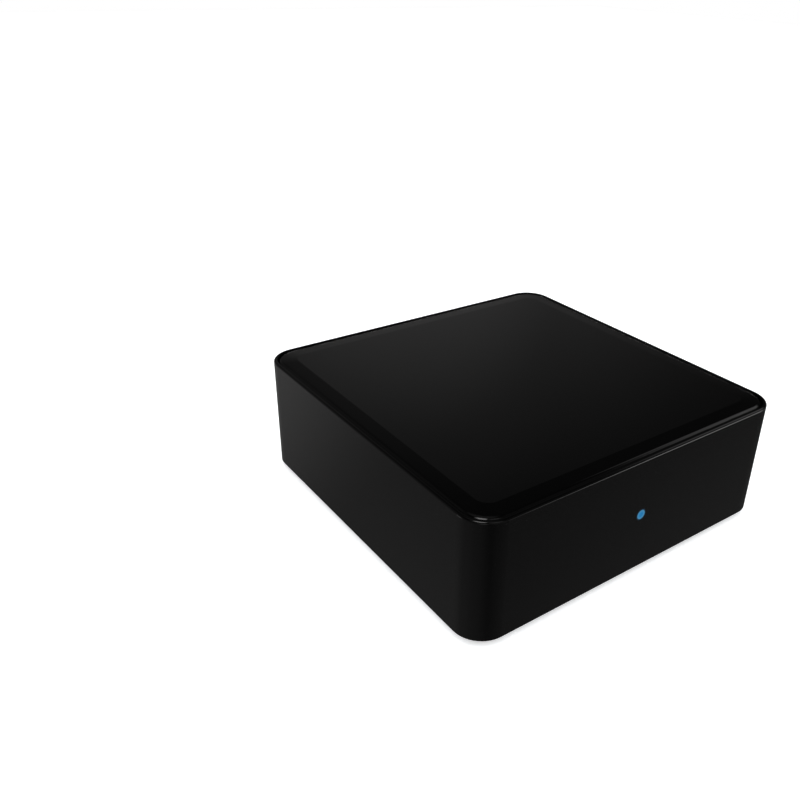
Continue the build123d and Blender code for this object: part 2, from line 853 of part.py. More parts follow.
with BuildPart() as antenna_leads:
    with BuildLine():
        FilletPolyline(
            (plug_x + lead_plug_radius, lead_y, lead_z),
            (lead_x, lead_y, lead_z),
            (lead_x, lead_y, antenna_z),
            radius=lead_bend,
        )
    with BuildSketch(sideways(plug_x + lead_plug_radius)):
        with Locations((lead_y, lead_z)):
            Circle(lead_radius)
    sweep()
    mirror(about=Plane.YZ)
antenna_leads.part.label = "antenna_leads"
export_step(antenna_leads.part, "parts/antenna_leads.step")

# Electrolytic capacitors, three on each side of the board
with BuildPart() as electrolytic_capacitors:
    with BuildSketch(board_level(board_z)):
        with GridLocations(2 * capacitor_offset, 0, 2, 1):
            with Locations((0, setback(capacitor_setback))):
                with GridLocations(capacitor_pitch, 0, capacitors_per_side, 1):
                    Circle(capacitor_radius)
    extrude(amount=capacitor_height)
    chamfer(electrolytic_capacitors.edges().group_by(Axis.Z)[-1], length=capacitor_edge)
electrolytic_capacitors.part.label = "electrolytic_capacitors"
export_step(electrolytic_capacitors.part, "parts/electrolytic_capacitors.step")

# Film capacitors behind the two jack blocks
with BuildPart() as film_capacitors:
    with BuildSketch(board_level(board_z)):
        with Locations(*[(x, setback(film_setback)) for x in jack_columns]):
            with GridLocations(0, film_pitch, 1, 2):
                Rectangle(film_width, film_thickness)
    extrude(amount=film_height)
film_capacitors.part.label = "film_capacitors"
export_step(film_capacitors.part, "parts/film_capacitors.step")

# Chips and the clock crystal of the audio side
with BuildPart() as audio_converter:
    with BuildSketch(board_level(board_z)):
        with Locations((-converter_offset, setback(converter_setback))):
            Rectangle(converter_size, converter_size)
    extrude(amount=converter_height)
audio_converter.part.label = "audio_converter"
export_step(audio_converter.part, "parts/audio_converter.step")

with BuildPart() as line_amplifiers:
    with BuildSketch(board_level(board_z)):
        with Locations((-converter_offset, setback(amplifier_setback))):
            with GridLocations(amplifier_pitch, 0, 2, 1):
                Rectangle(amplifier_width, amplifier_length)
    extrude(amount=amplifier_height)
line_amplifiers.part.label = "line_amplifiers"
export_step(line_amplifiers.part, "parts/line_amplifiers.step")

with BuildPart() as clock_crystal:
    with BuildSketch(board_level(board_z)):
        with Locations((-converter_offset, setback(crystal_setback))):
            SlotOverall(crystal_length, crystal_width)
    extrude(amount=crystal_height)
clock_crystal.part.label = "clock_crystal"
export_step(clock_crystal.part, "parts/clock_crystal.step")

# Power side: an inductor in a square ferrite block, and the voltage regulator with its tab
with BuildPart() as power_inductor:
    with BuildSketch(board_level(board_z)):
        with Locations((inductor_offset, setback(inductor_setback))):
            Rectangle(inductor_size, inductor_size)
    extrude(amount=inductor_height)
    chamfer(power_inductor.edges().filter_by(Axis.Z), length=inductor_corner)
    with BuildSketch(board_level(board_z + inductor_height)):
        with Locations((inductor_offset, setback(inductor_setback))):
            Circle(inductor_size / 2 - inductor_cap)
    extrude(amount=inductor_cap)
power_inductor.part.label = "power_inductor"
export_step(power_inductor.part, "parts/power_inductor.step")

with BuildPart() as voltage_regulator:
    with BuildSketch(board_level(board_z)):
        with Locations((regulator_offset, setback(inductor_setback))):
            Rectangle(regulator_width, regulator_length)
    extrude(amount=regulator_height)
    tab_setback = inductor_setback + (regulator_length + regulator_tab_length) / 2
    with BuildSketch(board_level(board_z)):
        with Locations((regulator_offset, setback(tab_setback))):
            Rectangle(regulator_width, regulator_tab_length)
    extrude(amount=regulator_tab_thickness)
voltage_regulator.part.label = "voltage_regulator"
export_step(voltage_regulator.part, "parts/voltage_regulator.step")

# Line jacks: a moulded block with a round seat for each sleeve, lower towards its back
for name, x in (("line_out_block", line_out_x), ("line_in_block", line_in_x)):
    with BuildPart() as jack_block:
        with BuildSketch(upright(panel_inner_y)):
            with Locations((x, board_z)):
                Rectangle(
                    jack_block_width, jack_block_height, align=(Align.CENTER, Align.MIN)
                )
        extrude(amount=jack_block_depth)
        top_back = jack_block.edges().filter_by(Axis.X).group_by(Axis.Z)[-1].sort_by(Axis.Y)[0]
        chamfer(top_back, length=jack_block_step)
        with BuildSketch(upright(panel_inner_y)):
            with Locations(*[(x, z) for z in jack_heights]):
                Circle(sleeve_radius + press)
        extrude(amount=sleeve_seat, mode=Mode.SUBTRACT)
        with BuildSketch(upright(panel_inner_y)):
            with Locations((x, jack_screw_z)):
                Circle(small_screw_radius + press)
        extrude(amount=small_screw_length + press, mode=Mode.SUBTRACT)
    jack_block.part.label = name
    export_step(jack_block.part, f"parts/{name}.step")

# Metal sleeves of the four jacks, standing out of the rear panel
sleeve_mouth_y = back_y + jack_reach
sleeve_floor_y = panel_inner_y - sleeve_seat
insulator_face_y = sleeve_mouth_y - insulator_recess
contact_face_y = insulator_face_y - contact_recess
with BuildPart() as jack_sleeves:
    with BuildSketch(upright(sleeve_mouth_y)):
        with Locations(*jack_points):
            Circle(sleeve_radius)
            Circle(sleeve_radius - sleeve_wall, mode=Mode.SUBTRACT)
    extrude(amount=sleeve_mouth_y - sleeve_floor_y)
    chamfer(jack_sleeves.edges().group_by(Axis.Y)[-1], length=sleeve_edge)
jack_sleeves.part.label = "jack_sleeves"
export_step(jack_sleeves.part, "parts/jack_sleeves.step")

# Insulators: the upper ones white for the left channel, the lower ones red for the right
insulator_radius = sleeve_radius - sleeve_wall - press
for name, z in (("white_insulators", jack_heights[1]), ("red_insulators", jack_heights[0])):
    with BuildPart() as insulators:
        with BuildSketch(upright(insulator_face_y)):
            with Locations(*[(x, z) for x in jack_columns]):
                Circle(insulator_radius)
                Circle(contact_radius + press, mode=Mode.SUBTRACT)
        extrude(amount=insulator_face_y - sleeve_floor_y)
        mouths = insulators.edges().group_by(Axis.Y)[-1].sort_by(SortBy.RADIUS)[:2]
        chamfer(mouths, length=insulator_lead_in)
    insulators.part.label = name
    export_step(insulators.part, f"parts/{name}.step")

# Centre contacts: tubes inside the insulators
with BuildPart() as jack_contacts:
    with BuildSketch(upright(contact_face_y)):
        with Locations(*jack_points):
            Circle(contact_radius)
            Circle(contact_bore, mode=Mode.SUBTRACT)
    extrude(amount=contact_face_y - sleeve_floor_y)
jack_contacts.part.label = "jack_contacts"
export_step(jack_contacts.part, "parts/jack_contacts.step")

# Optical sockets: a mouth with a lip, a chamber that the shutter folds up into, and a back wall
optical_face_y = back_y + optical_proud
lip_inner_y = optical_face_y - mouth_lip
hinge_y = lip_inner_y - shutter_gap - hinge_radius
shutter_bottom_z = mouth_bottom_z - shutter_lap
shutter_reach = hypot(hinge_z - shutter_bottom_z, hinge_radius)
chamber_back_y = hinge_y - shutter_reach - seam
optical_back_y = chamber_back_y - optical_back
shutter_width = mouth_width + 2 * shutter_lap
chamber_width = shutter_width + 2 * shutter_side_gap
element_z = (mouth_bottom_z + mouth_top_z) / 2
for name, x in (("optical_in", optical_in_x), ("optical_out", optical_out_x)):
    with BuildPart() as optical_socket:
        with BuildSketch(upright(optical_face_y)):
            with Locations((x, board_z)):
                Rectangle(optical_width, optical_height, align=(Align.CENTER, Align.MIN))
        extrude(amount=optical_face_y - optical_back_y)
        with BuildSketch(upright(lip_inner_y)):
            with Locations((x, chamber_bottom_z)):
                Rectangle(
                    chamber_width,
                    chamber_top_z - chamber_bottom_z,
                    align=(Align.CENTER, Align.MIN),
                )
        extrude(amount=lip_inner_y - chamber_back_y, mode=Mode.SUBTRACT)
        with BuildSketch(upright(optical_face_y)):
            with Locations((x, mouth_bottom_z)):
                Rectangle(mouth_width, mouth_height, align=(Align.CENTER, Align.MIN))
        extrude(amount=mouth_lip, mode=Mode.SUBTRACT)
        mouth_edges = optical_socket.faces().sort_by(Axis.Y)[-1].inner_wires()[0].edges()
        chamfer(mouth_edges, length=mouth_chamfer)
        with BuildSketch(upright(chamber_back_y)):
            with Locations((x, element_z)):
                Circle(element_nose_radius + press)
        extrude(amount=optical_back, mode=Mode.SUBTRACT)
        with BuildSketch(sideways(x)):
            with Locations((hinge_y, hinge_z)):
                Circle(hinge_pin_radius + running)
        extrude(amount=optical_width / 2, both=True, mode=Mode.SUBTRACT)
    optical_socket.part.label = f"{name}_socket"
    export_step(optical_socket.part, f"parts/{name}_socket.step")

    # Optical element: a block behind the socket, with a nose through its back wall
    with BuildPart() as optical_element:
        with BuildSketch(upright(optical_back_y)):
            with Locations((x, board_z)):
                Rectangle(element_width, element_height, align=(Align.CENTER, Align.MIN))
        extrude(amount=element_depth)
        with BuildSketch(upright(optical_back_y)):
            with Locations((x, element_z)):
                Circle(element_nose_radius)
        extrude(amount=-optical_back)
    optical_element.part.label = f"{name}_element"
    export_step(optical_element.part, f"parts/{name}_element.step")

    # Shutter: a plate hanging from a round hinge with a pin at each end
    with BuildPart() as shutter:
        with BuildSketch(sideways(x)):
            with Locations((hinge_y, hinge_z)):
                Circle(hinge_radius)
            with Locations((hinge_y + hinge_radius, hinge_z)):
                Rectangle(
                    shutter_thickness,
                    hinge_z - shutter_bottom_z,
                    align=(Align.MAX, Align.MAX),
                )
        extrude(amount=shutter_width / 2, both=True)
        with BuildSketch(sideways(x)):
            with Locations((hinge_y, hinge_z)):
                Circle(hinge_pin_radius)
        extrude(amount=chamber_width / 2 + hinge_pin_length, both=True)
    shutter.part.label = f"{name}_shutter"
    export_step(shutter.part, f"parts/{name}_shutter.step")

# Ethernet jack: folded sheet shield, open at the mouth and the underside
ethernet_face_y = back_y + ethernet_proud
ethernet_inner_width = ethernet_width - 2 * ethernet_sheet
with BuildPart() as ethernet_shield:
    with BuildSketch(upright(ethernet_face_y)):
        with Locations((ethernet_x, board_z)):
            Rectangle(ethernet_width, ethernet_height, align=(Align.CENTER, Align.MIN))
    extrude(amount=ethernet_depth)
    fillet(ethernet_shield.edges().filter_by(Axis.Y).group_by(Axis.Z)[-1], radius=ethernet_corner)
    with BuildSketch(upright(ethernet_face_y)):
        with Locations((ethernet_x, board_z)):
            Rectangle(
                ethernet_inner_width,
                ethernet_height - ethernet_sheet,
                align=(Align.CENTER, Align.MIN),
            )
    extrude(amount=ethernet_depth - ethernet_sheet, mode=Mode.SUBTRACT)
ethernet_shield.part.label = "ethernet_shield"
export_step(ethernet_shield.part, "parts/ethernet_shield.step")

# Its moulded insert, with the plug's hollow, the latch's step below it and two windows above it
insert_face_y = ethernet_face_y - ethernet_sheet
insert_height = ethernet_height - ethernet_sheet - press
plug_bottom_z = board_z + plug_floor
plug_top_z = plug_bottom_z + plug_height
eye_z = board_z + insert_height - eye_inset - eye_height / 2
eye_points = [(ethernet_x + side * eye_spacing / 2, eye_z) for side in (-1, 1)]
with BuildPart() as ethernet_insert:
    with BuildSketch(upright(insert_face_y)):
        with Locations((ethernet_x, board_z)):
            Rectangle(
                ethernet_inner_width - 2 * press, insert_height, align=(Align.CENTER, Align.MIN)
            )
    extrude(amount=ethernet_depth - 2 * ethernet_sheet - press)
    with BuildSketch(upright(insert_face_y)):
        with Locations((ethernet_x, plug_bottom_z)):
            Rectangle(plug_width, plug_height, align=(Align.CENTER, Align.MIN))
        with Locations((ethernet_x, plug_bottom_z - latch_height)):
            Rectangle(latch_width, latch_height, align=(Align.CENTER, Align.MIN))
        with Locations((ethernet_x, plug_bottom_z - latch_height - latch_step_height)):
            Rectangle(latch_step_width, latch_step_height, align=(Align.CENTER, Align.MIN))
    extrude(amount=plug_depth, mode=Mode.SUBTRACT)
    with BuildSketch(upright(insert_face_y)):
        with Locations(*eye_points):
            Rectangle(eye_width, eye_height)
    extrude(amount=eye_depth, mode=Mode.SUBTRACT)
ethernet_insert.part.label = "ethernet_insert"
export_step(ethernet_insert.part, "parts/ethernet_insert.step")

with BuildPart() as ethernet_lights:
    with BuildSketch(upright(insert_face_y)):
        with Locations(*eye_points):
            Rectangle(eye_width - 2 * press, eye_height - 2 * press)
    extrude(amount=eye_depth)
ethernet_lights.part.label = "ethernet_lights"
export_step(ethernet_lights.part, "parts/ethernet_lights.step")

# Eight spring wires that slope down into the hollow from its roof
wire_z = plug_top_z - wire_thickness / 2
wire_first_x = ethernet_x - (wire_count - 1) * wire_pitch / 2
wire_planes = [
    sideways(wire_first_x + place * wire_pitch - wire_width / 2) for place in range(wire_count)
]
with BuildPart() as ethernet_contacts:
    with BuildSketch(*wire_planes):
        with BuildLine():
            FilletPolyline(
                (insert_face_y - wire_root, wire_z),
                (insert_face_y - 2 * wire_root, wire_z),
                (insert_face_y - wire_reach, wire_z - wire_drop),
                radius=wire_bend,
            )
        trace(line_width=wire_thickness)
    extrude(amount=wire_width)
ethernet_contacts.part.label = "ethernet_contacts"
export_step(ethernet_contacts.part, "parts/ethernet_contacts.step")

# USB socket: a sheet sleeve with two spring slots in its top
usb_face_y = back_y + usb_proud
usb_z = board_z + usb_height / 2
with BuildPart() as usb_sleeve:
    with BuildSketch(upright(usb_face_y)):
        with Locations((usb_x, usb_z)):
            RectangleRounded(usb_width, usb_height, usb_corner)
            RectangleRounded(
                usb_width - 2 * usb_sheet,
                usb_height - 2 * usb_sheet,
                usb_corner - usb_sheet,
                mode=Mode.SUBTRACT,
            )
    extrude(amount=usb_depth)
    with BuildSketch(Plane((usb_x, usb_face_y - usb_slot_setback, board_z + usb_height - usb_sheet))):
        with GridLocations(usb_slot_pitch, 0, 2, 1):
            Rectangle(usb_slot_width, usb_slot_length)
    extrude(amount=usb_sheet, mode=Mode.SUBTRACT)
usb_sleeve.part.label = "usb_sleeve"
export_step(usb_sleeve.part, "parts/usb_sleeve.step")

# Its insulating block and tongue, with four contacts under the tongue
usb_back_y = usb_face_y - usb_depth
usb_block_y = usb_back_y + usb_block_length
tongue_tip_y = usb_block_y + usb_tongue_length
tongue_top_z = board_z + usb_height - usb_sheet - usb_tongue_drop
tongue_under_z = tongue_top_z - usb_tongue_thickness
with BuildPart() as usb_tongue:
    with BuildSketch(upright(usb_block_y)):
        with Locations((usb_x, usb_z)):
            Rectangle(
                usb_width - 2 * (usb_corner + press), usb_height - 2 * (usb_sheet + press)
            )
    extrude(amount=usb_block_length)
    with BuildSketch(upright(tongue_tip_y)):
        with Locations((usb_x, tongue_top_z)):
            Rectangle(
                usb_tongue_width, usb_tongue_thickness, align=(Align.CENTER, Align.MAX)
            )
    extrude(amount=usb_tongue_length)
usb_tongue.part.label = "usb_tongue"
export_step(usb_tongue.part, "parts/usb_tongue.step")

with BuildPart() as usb_contacts:
    with BuildSketch(upright(usb_block_y + usb_contact_length)):
        with Locations((usb_x, tongue_under_z - usb_contact_thickness / 2)):
            with GridLocations(usb_contact_pitch, 0, usb_contact_count, 1):
                Rectangle(usb_contact_width, usb_contact_thickness)
    extrude(amount=usb_contact_length)
usb_contacts.part.label = "usb_contacts"
export_step(usb_contacts.part, "parts/usb_contacts.step")

# Power inlet: a block with a round collar, a bore, and a slot under the bore for its spring
with BuildPart() as power_block:
    with BuildSketch(upright(panel_inner_y)):
        with Locations((power_x, board_z)):
            Rectangle(power_width, power_height, align=(Align.CENTER, Align.MIN))
    extrude(amount=power_front_length)
    with BuildSketch(upright(panel_inner_y - power_front_length)):
        with Locations((power_x, board_z)):
            Rectangle(power_width, power_back_height, align=(Align.CENTER, Align.MIN))
    extrude(amount=power_depth - power_front_length)
    with BuildSketch(upright(back_y)):
        with Locations((power_x, power_z)):
            Circle(power_collar_radius)
    extrude(amount=panel_thickness)
    with BuildSketch(upright(back_y)):
        with Locations((power_x, power_z)):
            Circle(power_bore)
    extrude(amount=power_bore_depth, mode=Mode.SUBTRACT)
    with BuildSketch(upright(back_y - power_bore_depth + power_spring_length)):
        with Locations((power_x, power_z)):
            Rectangle(
                power_spring_width + 2 * press,
                power_bore + power_slot_depth,
                align=(Align.CENTER, Align.MAX),
            )
    extrude(amount=power_spring_length, mode=Mode.SUBTRACT)
power_block.part.label = "power_block"
export_step(power_block.part, "parts/power_block.step")

with BuildPart() as power_pin:
    with BuildSketch(upright(back_y - power_pin_recess)):
        with Locations((power_x, power_z)):
            Circle(power_pin_radius)
    extrude(amount=power_bore_depth - power_pin_recess)
    chamfer(power_pin.edges().group_by(Axis.Y)[-1], length=power_pin_radius / 2)
power_pin.part.label = "power_pin"
export_step(power_pin.part, "parts/power_pin.step")

with BuildPart() as power_spring:
    with BuildSketch(upright(back_y - power_bore_depth + power_spring_length)):
        with Locations((power_x, power_z - power_bore - power_slot_depth)):
            Rectangle(
                power_spring_width, power_spring_thickness, align=(Align.CENTER, Align.MIN)
            )
    extrude(amount=power_spring_length)
power_spring.part.label = "power_spring"
export_step(power_spring.part, "parts/power_spring.step")

# Setup button: a capped stem with a flange that stops it behind the panel
button_back_y = panel_inner_y - button_flange - button_stem
with BuildPart() as setup_button:
    with BuildSketch(upright(back_y + button_proud)):
        with Locations((setup_x, setup_z)):
            Circle(button_radius)
    extrude(amount=button_proud + panel_thickness)
    chamfer(setup_button.edges().group_by(Axis.Y)[-1], length=button_edge)
    with BuildSketch(upright(panel_inner_y)):
        with Locations((setup_x, setup_z)):
            Circle(button_flange_radius)
    extrude(amount=button_flange)
    with BuildSketch(upright(panel_inner_y - button_flange)):
        with Locations((setup_x, setup_z)):
            Circle(button_stem_radius)
    extrude(amount=button_stem)
setup_button.part.label = "setup_button"
export_step(setup_button.part, "parts/setup_button.step")

# Switch plunger behind the button, sunk into the switch body by its tail
with BuildPart() as switch_plunger:
    with BuildSketch(upright(button_back_y)):
        with Locations((setup_x, setup_z)):
            Circle(plunger_radius)
    extrude(amount=plunger_length + plunger_tail)
switch_plunger.part.label = "switch_plunger"
export_step(switch_plunger.part, "parts/switch_plunger.step")

switch_face_y = button_back_y - plunger_length
with BuildPart() as switch_body:
    with BuildSketch(upright(switch_face_y)):
        with Locations((setup_x, board_z)):
            Rectangle(switch_width, switch_height, align=(Align.CENTER, Align.MIN))
    extrude(amount=switch_depth)
    with BuildSketch(upright(switch_face_y)):
        with Locations((setup_x, setup_z)):
            Circle(plunger_radius + button_gap / 2)
    extrude(amount=plunger_tail + button_travel + button_gap, mode=Mode.SUBTRACT)
switch_body.part.label = "switch_body"
export_step(switch_body.part, "parts/switch_body.step")
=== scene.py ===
import math

import bpy
from mathutils import Matrix, Vector


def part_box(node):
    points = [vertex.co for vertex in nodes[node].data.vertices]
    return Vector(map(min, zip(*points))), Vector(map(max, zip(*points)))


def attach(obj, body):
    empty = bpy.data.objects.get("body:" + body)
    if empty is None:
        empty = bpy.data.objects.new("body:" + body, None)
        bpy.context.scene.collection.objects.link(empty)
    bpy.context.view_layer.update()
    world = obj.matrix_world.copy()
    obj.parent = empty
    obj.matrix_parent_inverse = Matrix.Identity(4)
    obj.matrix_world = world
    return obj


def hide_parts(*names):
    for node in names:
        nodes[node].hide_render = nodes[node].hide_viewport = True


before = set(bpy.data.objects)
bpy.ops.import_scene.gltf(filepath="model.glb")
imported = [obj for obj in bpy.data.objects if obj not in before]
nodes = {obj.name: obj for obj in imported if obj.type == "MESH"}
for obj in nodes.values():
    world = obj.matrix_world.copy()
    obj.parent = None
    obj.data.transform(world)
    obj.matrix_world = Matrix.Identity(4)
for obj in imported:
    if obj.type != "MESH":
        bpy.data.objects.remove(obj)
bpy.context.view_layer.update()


# Camera: a long lens in front of the streamer's left corner, a little above it, looking down, as the
# photograph was taken. The shift only centres the streamer in the picture as it is there.
camera_turn = -0.65177
camera_rise = 0.49372
camera_tilt = 0.03292
camera_place = (-0.20913, -0.24244, 0.20876)
towards_lens = Vector((
    math.sin(camera_turn) * math.cos(camera_rise),
    -math.cos(camera_turn) * math.cos(camera_rise),
    math.sin(camera_rise),
))
level_right = Vector((math.cos(camera_turn), math.sin(camera_turn), 0.0))
level_up = towards_lens.cross(level_right)
picture_right = math.cos(camera_tilt) * level_right + math.sin(camera_tilt) * level_up
picture_up = math.cos(camera_tilt) * level_up - math.sin(camera_tilt) * level_right
lens = bpy.data.cameras.new("camera")
lens.sensor_width = 36.0
lens.lens = 37.62
lens.shift_x = -0.075
lens.shift_y = 0.00625
lens.clip_start = 0.01
camera = bpy.data.objects.new("camera", lens)
camera.matrix_world = Matrix.Translation(camera_place) @ Matrix(
    (picture_right, picture_up, towards_lens)
).transposed().to_4x4()
bpy.context.scene.collection.objects.link(camera)
bpy.context.scene.camera = camera


# Studio table: a wide white matt sheet under the streamer. It is kept out of the gloss, as the dark
# cards round the real table keep its white out of the black walls.
def finish(name, colour, roughness, metallic=0.0):
    """A finish of one colour, ready for its grain: the material, its nodes and its shader."""
    made = bpy.data.materials.new(name)
    made.use_nodes = True
    shader = made.node_tree.nodes["Principled BSDF"]
    shader.inputs["Base Color"].default_value = (*colour, 1.0)
    shader.inputs["Roughness"].default_value = roughness
    shader.inputs["Metallic"].default_value = metallic
    return made, made.node_tree, shader


table_reach = 3.0
table_sheet = bpy.data.meshes.new("table_sheet")
table_sheet.from_pydata(
    [(-table_reach, -table_reach, 0), (table_reach, -table_reach, 0),
     (table_reach, table_reach, 0), (-table_reach, table_reach, 0)],
    [], [(0, 1, 2, 3)],
)
table = bpy.data.objects.new("table_sheet", table_sheet)
bpy.context.scene.collection.objects.link(table)
table_white, _, table_shader = finish("table_white", (0.86, 0.865, 0.87), 0.6)
table_shader.inputs["Emission Color"].default_value = (1.0, 1.0, 1.0, 1.0)
table_shader.inputs["Emission Strength"].default_value = 0.46
table_sheet.materials.append(table_white)
table.visible_glossy = False


# Studio light: a pale room for the matt surfaces, and for the gloss a dark one with soft cards behind
# the streamer, lamps above the front, and bright low strips near the level of the table.
room = bpy.data.worlds.new("studio")
bpy.context.scene.world = room
room.use_nodes = True
studio = room.node_tree
studio.nodes.clear()
bearing = studio.nodes.new("ShaderNodeTexCoord").outputs["Generated"]


def link(tree, source, target):
    """Feeds one socket from another."""
    tree.links.new(source, target)


def added(tree, kind, sockets, **settings):
    """A new node with its settings, and its sockets set to a value or linked to another socket."""
    made = tree.nodes.new(kind)
    for label, setting in settings.items():
        setattr(made, label, setting)
    for label, value in sockets.items():
        if isinstance(value, bpy.types.NodeSocket):
            link(tree, value, made.inputs[label])
        else:
            made.inputs[label].default_value = value
    return made


def maths(tree, kind, first, second=0.0):
    """Two values, each a number or a socket, joined by one sum."""
    return added(tree, "ShaderNodeMath", {0: first, 1: second}, operation=kind).outputs[0]


def vectors(tree, kind, first, second=(0.0, 0.0, 0.0)):
    """Two places or directions joined by one sum. A distance, length or dot product is one number."""
    result = added(tree, "ShaderNodeVectorMath", {0: first, 1: second}, operation=kind)
    return result.outputs["Value" if kind in ("DISTANCE", "LENGTH", "DOT_PRODUCT") else "Vector"]


def above(low, high):
    """0 below a height of the view direction, 1 above the other, smooth between them."""
    split = added(studio, "ShaderNodeSeparateXYZ", {0: bearing})
    return added(studio, "ShaderNodeMapRange", {
        "Value": split.outputs["Z"], "From Min": low, "From Max": high,
    }, interpolation_type="SMOOTHSTEP").outputs["Result"]


def below(low, high):
    """1 below a height of the view direction, 0 above the other."""
    return maths(studio, "SUBTRACT", 1.0, above(low, high))


def card(turn, rise, inner, outer, strength):
    """A soft round patch: degrees from the back wall towards the right, degrees up, its core and edge."""
    turn, rise = math.radians(turn), math.radians(rise)
    facing = vectors(studio, "DOT_PRODUCT", bearing, (
        math.sin(turn) * math.cos(rise), math.cos(turn) * math.cos(rise), math.sin(rise),
    ))
    return added(studio, "ShaderNodeMapRange", {
        "Value": facing,
        "From Min": math.cos(math.radians(outer)),
        "From Max": math.cos(math.radians(inner)),
        "To Max": strength,
    }, interpolation_type="SMOOTHSTEP").outputs["Result"]


def together(kind, *lights):
    """Several amounts of light added or multiplied."""
    total = lights[0]
    for light in lights[1:]:
        total = maths(studio, kind, total, light)
    return total


backdrop = together(
    "ADD",
    card(32.0, 16.0, 6.0, 24.0, 0.094),
    card(38.0, 20.0, 6.0, 24.0, 0.079),
    card(32.0, 20.0, 2.0, 12.0, 0.10),
    card(32.0, 28.0, 2.0, 12.0, 0.037),
)
low_lamps = together("ADD", card(128.0, -5.0, 7.0, 15.0, 8.5), card(139.0, -8.0, 3.0, 10.0, 5.0))
low_band = card(180.0, 0.0, 80.0, 130.0, 1.3)
strip = card(45.0, 0.0, 30.0, 55.0, 3.0)
mirrored = together(
    "ADD",
    together("SUBTRACT", 0.08, together("MULTIPLY", above(-0.10, 0.05), 0.05)),
    together("MULTIPLY", backdrop, above(0.12, 0.24)),
    card(-30.0, 15.0, 8.0, 50.0, 0.255),
    card(-15.0, -15.0, 4.0, 24.0, 0.304),
    card(-60.0, -15.0, 8.0, 50.0, 0.229),
    card(-90.0, -45.0, 8.0, 50.0, 0.153),
    card(-120.0, -45.0, 6.0, 36.0, 0.215),
    card(150.0, -45.0, 8.0, 50.0, 0.165),
    card(135.0, 22.0, 8.0, 42.0, 0.22),
    card(-118.0, 64.0, 8.0, 17.0, 16.0),
    card(-60.0, -16.0, 3.0, 12.0, 3.0),
    card(76.0, 39.0, 4.0, 11.0, 1.5),
    card(94.0, 38.0, 4.0, 13.0, 1.5),
    card(108.0, 37.0, 4.0, 10.0, 1.6),
    card(42.0, -18.0, 12.0, 25.0, 1.0),
    card(-135.0, -6.0, 5.0, 19.5, 2.0),
    card(180.0, 48.0, 8.0, 24.0, 1.7),
    card(-108.0, 42.0, 6.0, 18.0, 1.6),
    card(180.0, 8.0, 16.0, 34.0, 0.35),
    card(0.0, 82.0, 10.0, 30.0, 0.6),
    together("MULTIPLY", below(-0.03, 0.0), low_lamps),
    together("MULTIPLY", above(-0.13, -0.01), below(-0.01, 0.01), low_band),
    together("MULTIPLY", above(-0.09, -0.03), below(0.02, 0.08), strip),
)


def background(colour, strength=1.0):
    """One colour of light from all round."""
    return added(studio, "ShaderNodeBackground", {
        "Color": (*colour, 1.0), "Strength": strength,
    }).outputs[0]


def chosen(choice, otherwise, if_true):
    """One of two lights, by the kind of ray that looks at it."""
    return added(studio, "ShaderNodeMixShader", {0: choice, 1: otherwise, 2: if_true}).outputs[0]


rays = studio.nodes.new("ShaderNodeLightPath").outputs
room_light = background(
    (0.97, 0.985, 1.0),
    together("ADD", 1.05, together("MULTIPLY", above(-0.2, 1.0), 0.35)),
)
room_mirrored = background((1.0, 0.99, 0.985), mirrored)
by_gloss = chosen(rays["Is Glossy Ray"], room_light, room_mirrored)
by_eye = chosen(rays["Is Camera Ray"], by_gloss, background((1.0, 1.0, 1.0)))
added(studio, "ShaderNodeOutputWorld", {0: by_eye})
bpy.context.scene.view_settings.view_transform = "Standard"


# Housing: one deep injection-moulded tub. Its outside is polished gloss black, its inside plain satin
# black, and its underside is spark-eroded so that rubs don't show.
def position(tree):
    """Places on the piece, in metres."""
    return tree.nodes.new("ShaderNodeTexCoord").outputs["Object"]


def coordinates(tree, source=None):
    """X, Y and Z of a place on the piece, or of another vector."""
    return added(tree, "ShaderNodeSeparateXYZ", {0: source or position(tree)}).outputs


def grain(tree, size, detail=3.0, stretch=(1.0, 1.0, 1.0)):
    """Cloudy marks about this size in metres, fixed to the piece, from 0 to 1."""
    scaled_place = added(tree, "ShaderNodeMapping", {
        "Vector": position(tree), "Scale": [1.0 / size / share for share in stretch],
    })
    return added(tree, "ShaderNodeTexNoise", {
        "Vector": scaled_place.outputs["Vector"], "Scale": 1.0, "Detail": detail,
    }).outputs["Fac"]


def spread(tree, value, low, high, start=0.3, end=0.7):
    """Stretches a value so that it runs from low to high."""
    return added(tree, "ShaderNodeMapRange", {
        "Value": value, "From Min": start, "From Max": end, "To Min": low, "To Max": high,
    }).outputs["Result"]


def tones(tree, value, first, second):
    """A colour that goes from first to second as the value goes from 0 to 1."""
    ends = [(*colour, 1.0) if isinstance(colour, tuple) else colour for colour in (first, second)]
    return added(tree, "ShaderNodeMix", {0: value, 6: ends[0], 7: ends[1]}, data_type="RGBA").outputs[2]


def relief(tree, shader, height, depth):
    """Raises and sinks the surface by a height, full depth in metres."""
    bump = added(tree, "ShaderNodeBump", {"Height": height, "Distance": depth, "Strength": 1.0})
    link(tree, bump.outputs["Normal"], shader.inputs["Normal"])


def along(tree, axis, low, high):
    """0 below one coordinate of the piece, 1 above the other."""
    return spread(tree, coordinates(tree)[axis], 0.0, 1.0, low, high)


def from_corner_centres(tree, middle, straight):
    """Distance outwards from the straight core of a box with round upright corners."""
    flat = vectors(tree, "MULTIPLY", vectors(tree, "SUBTRACT", position(tree), middle), (1.0, 1.0, 0.0))
    past = vectors(tree, "SUBTRACT", vectors(tree, "ABSOLUTE", flat), (straight, straight, 0.0))
    return vectors(tree, "LENGTH", vectors(tree, "MAXIMUM", past))


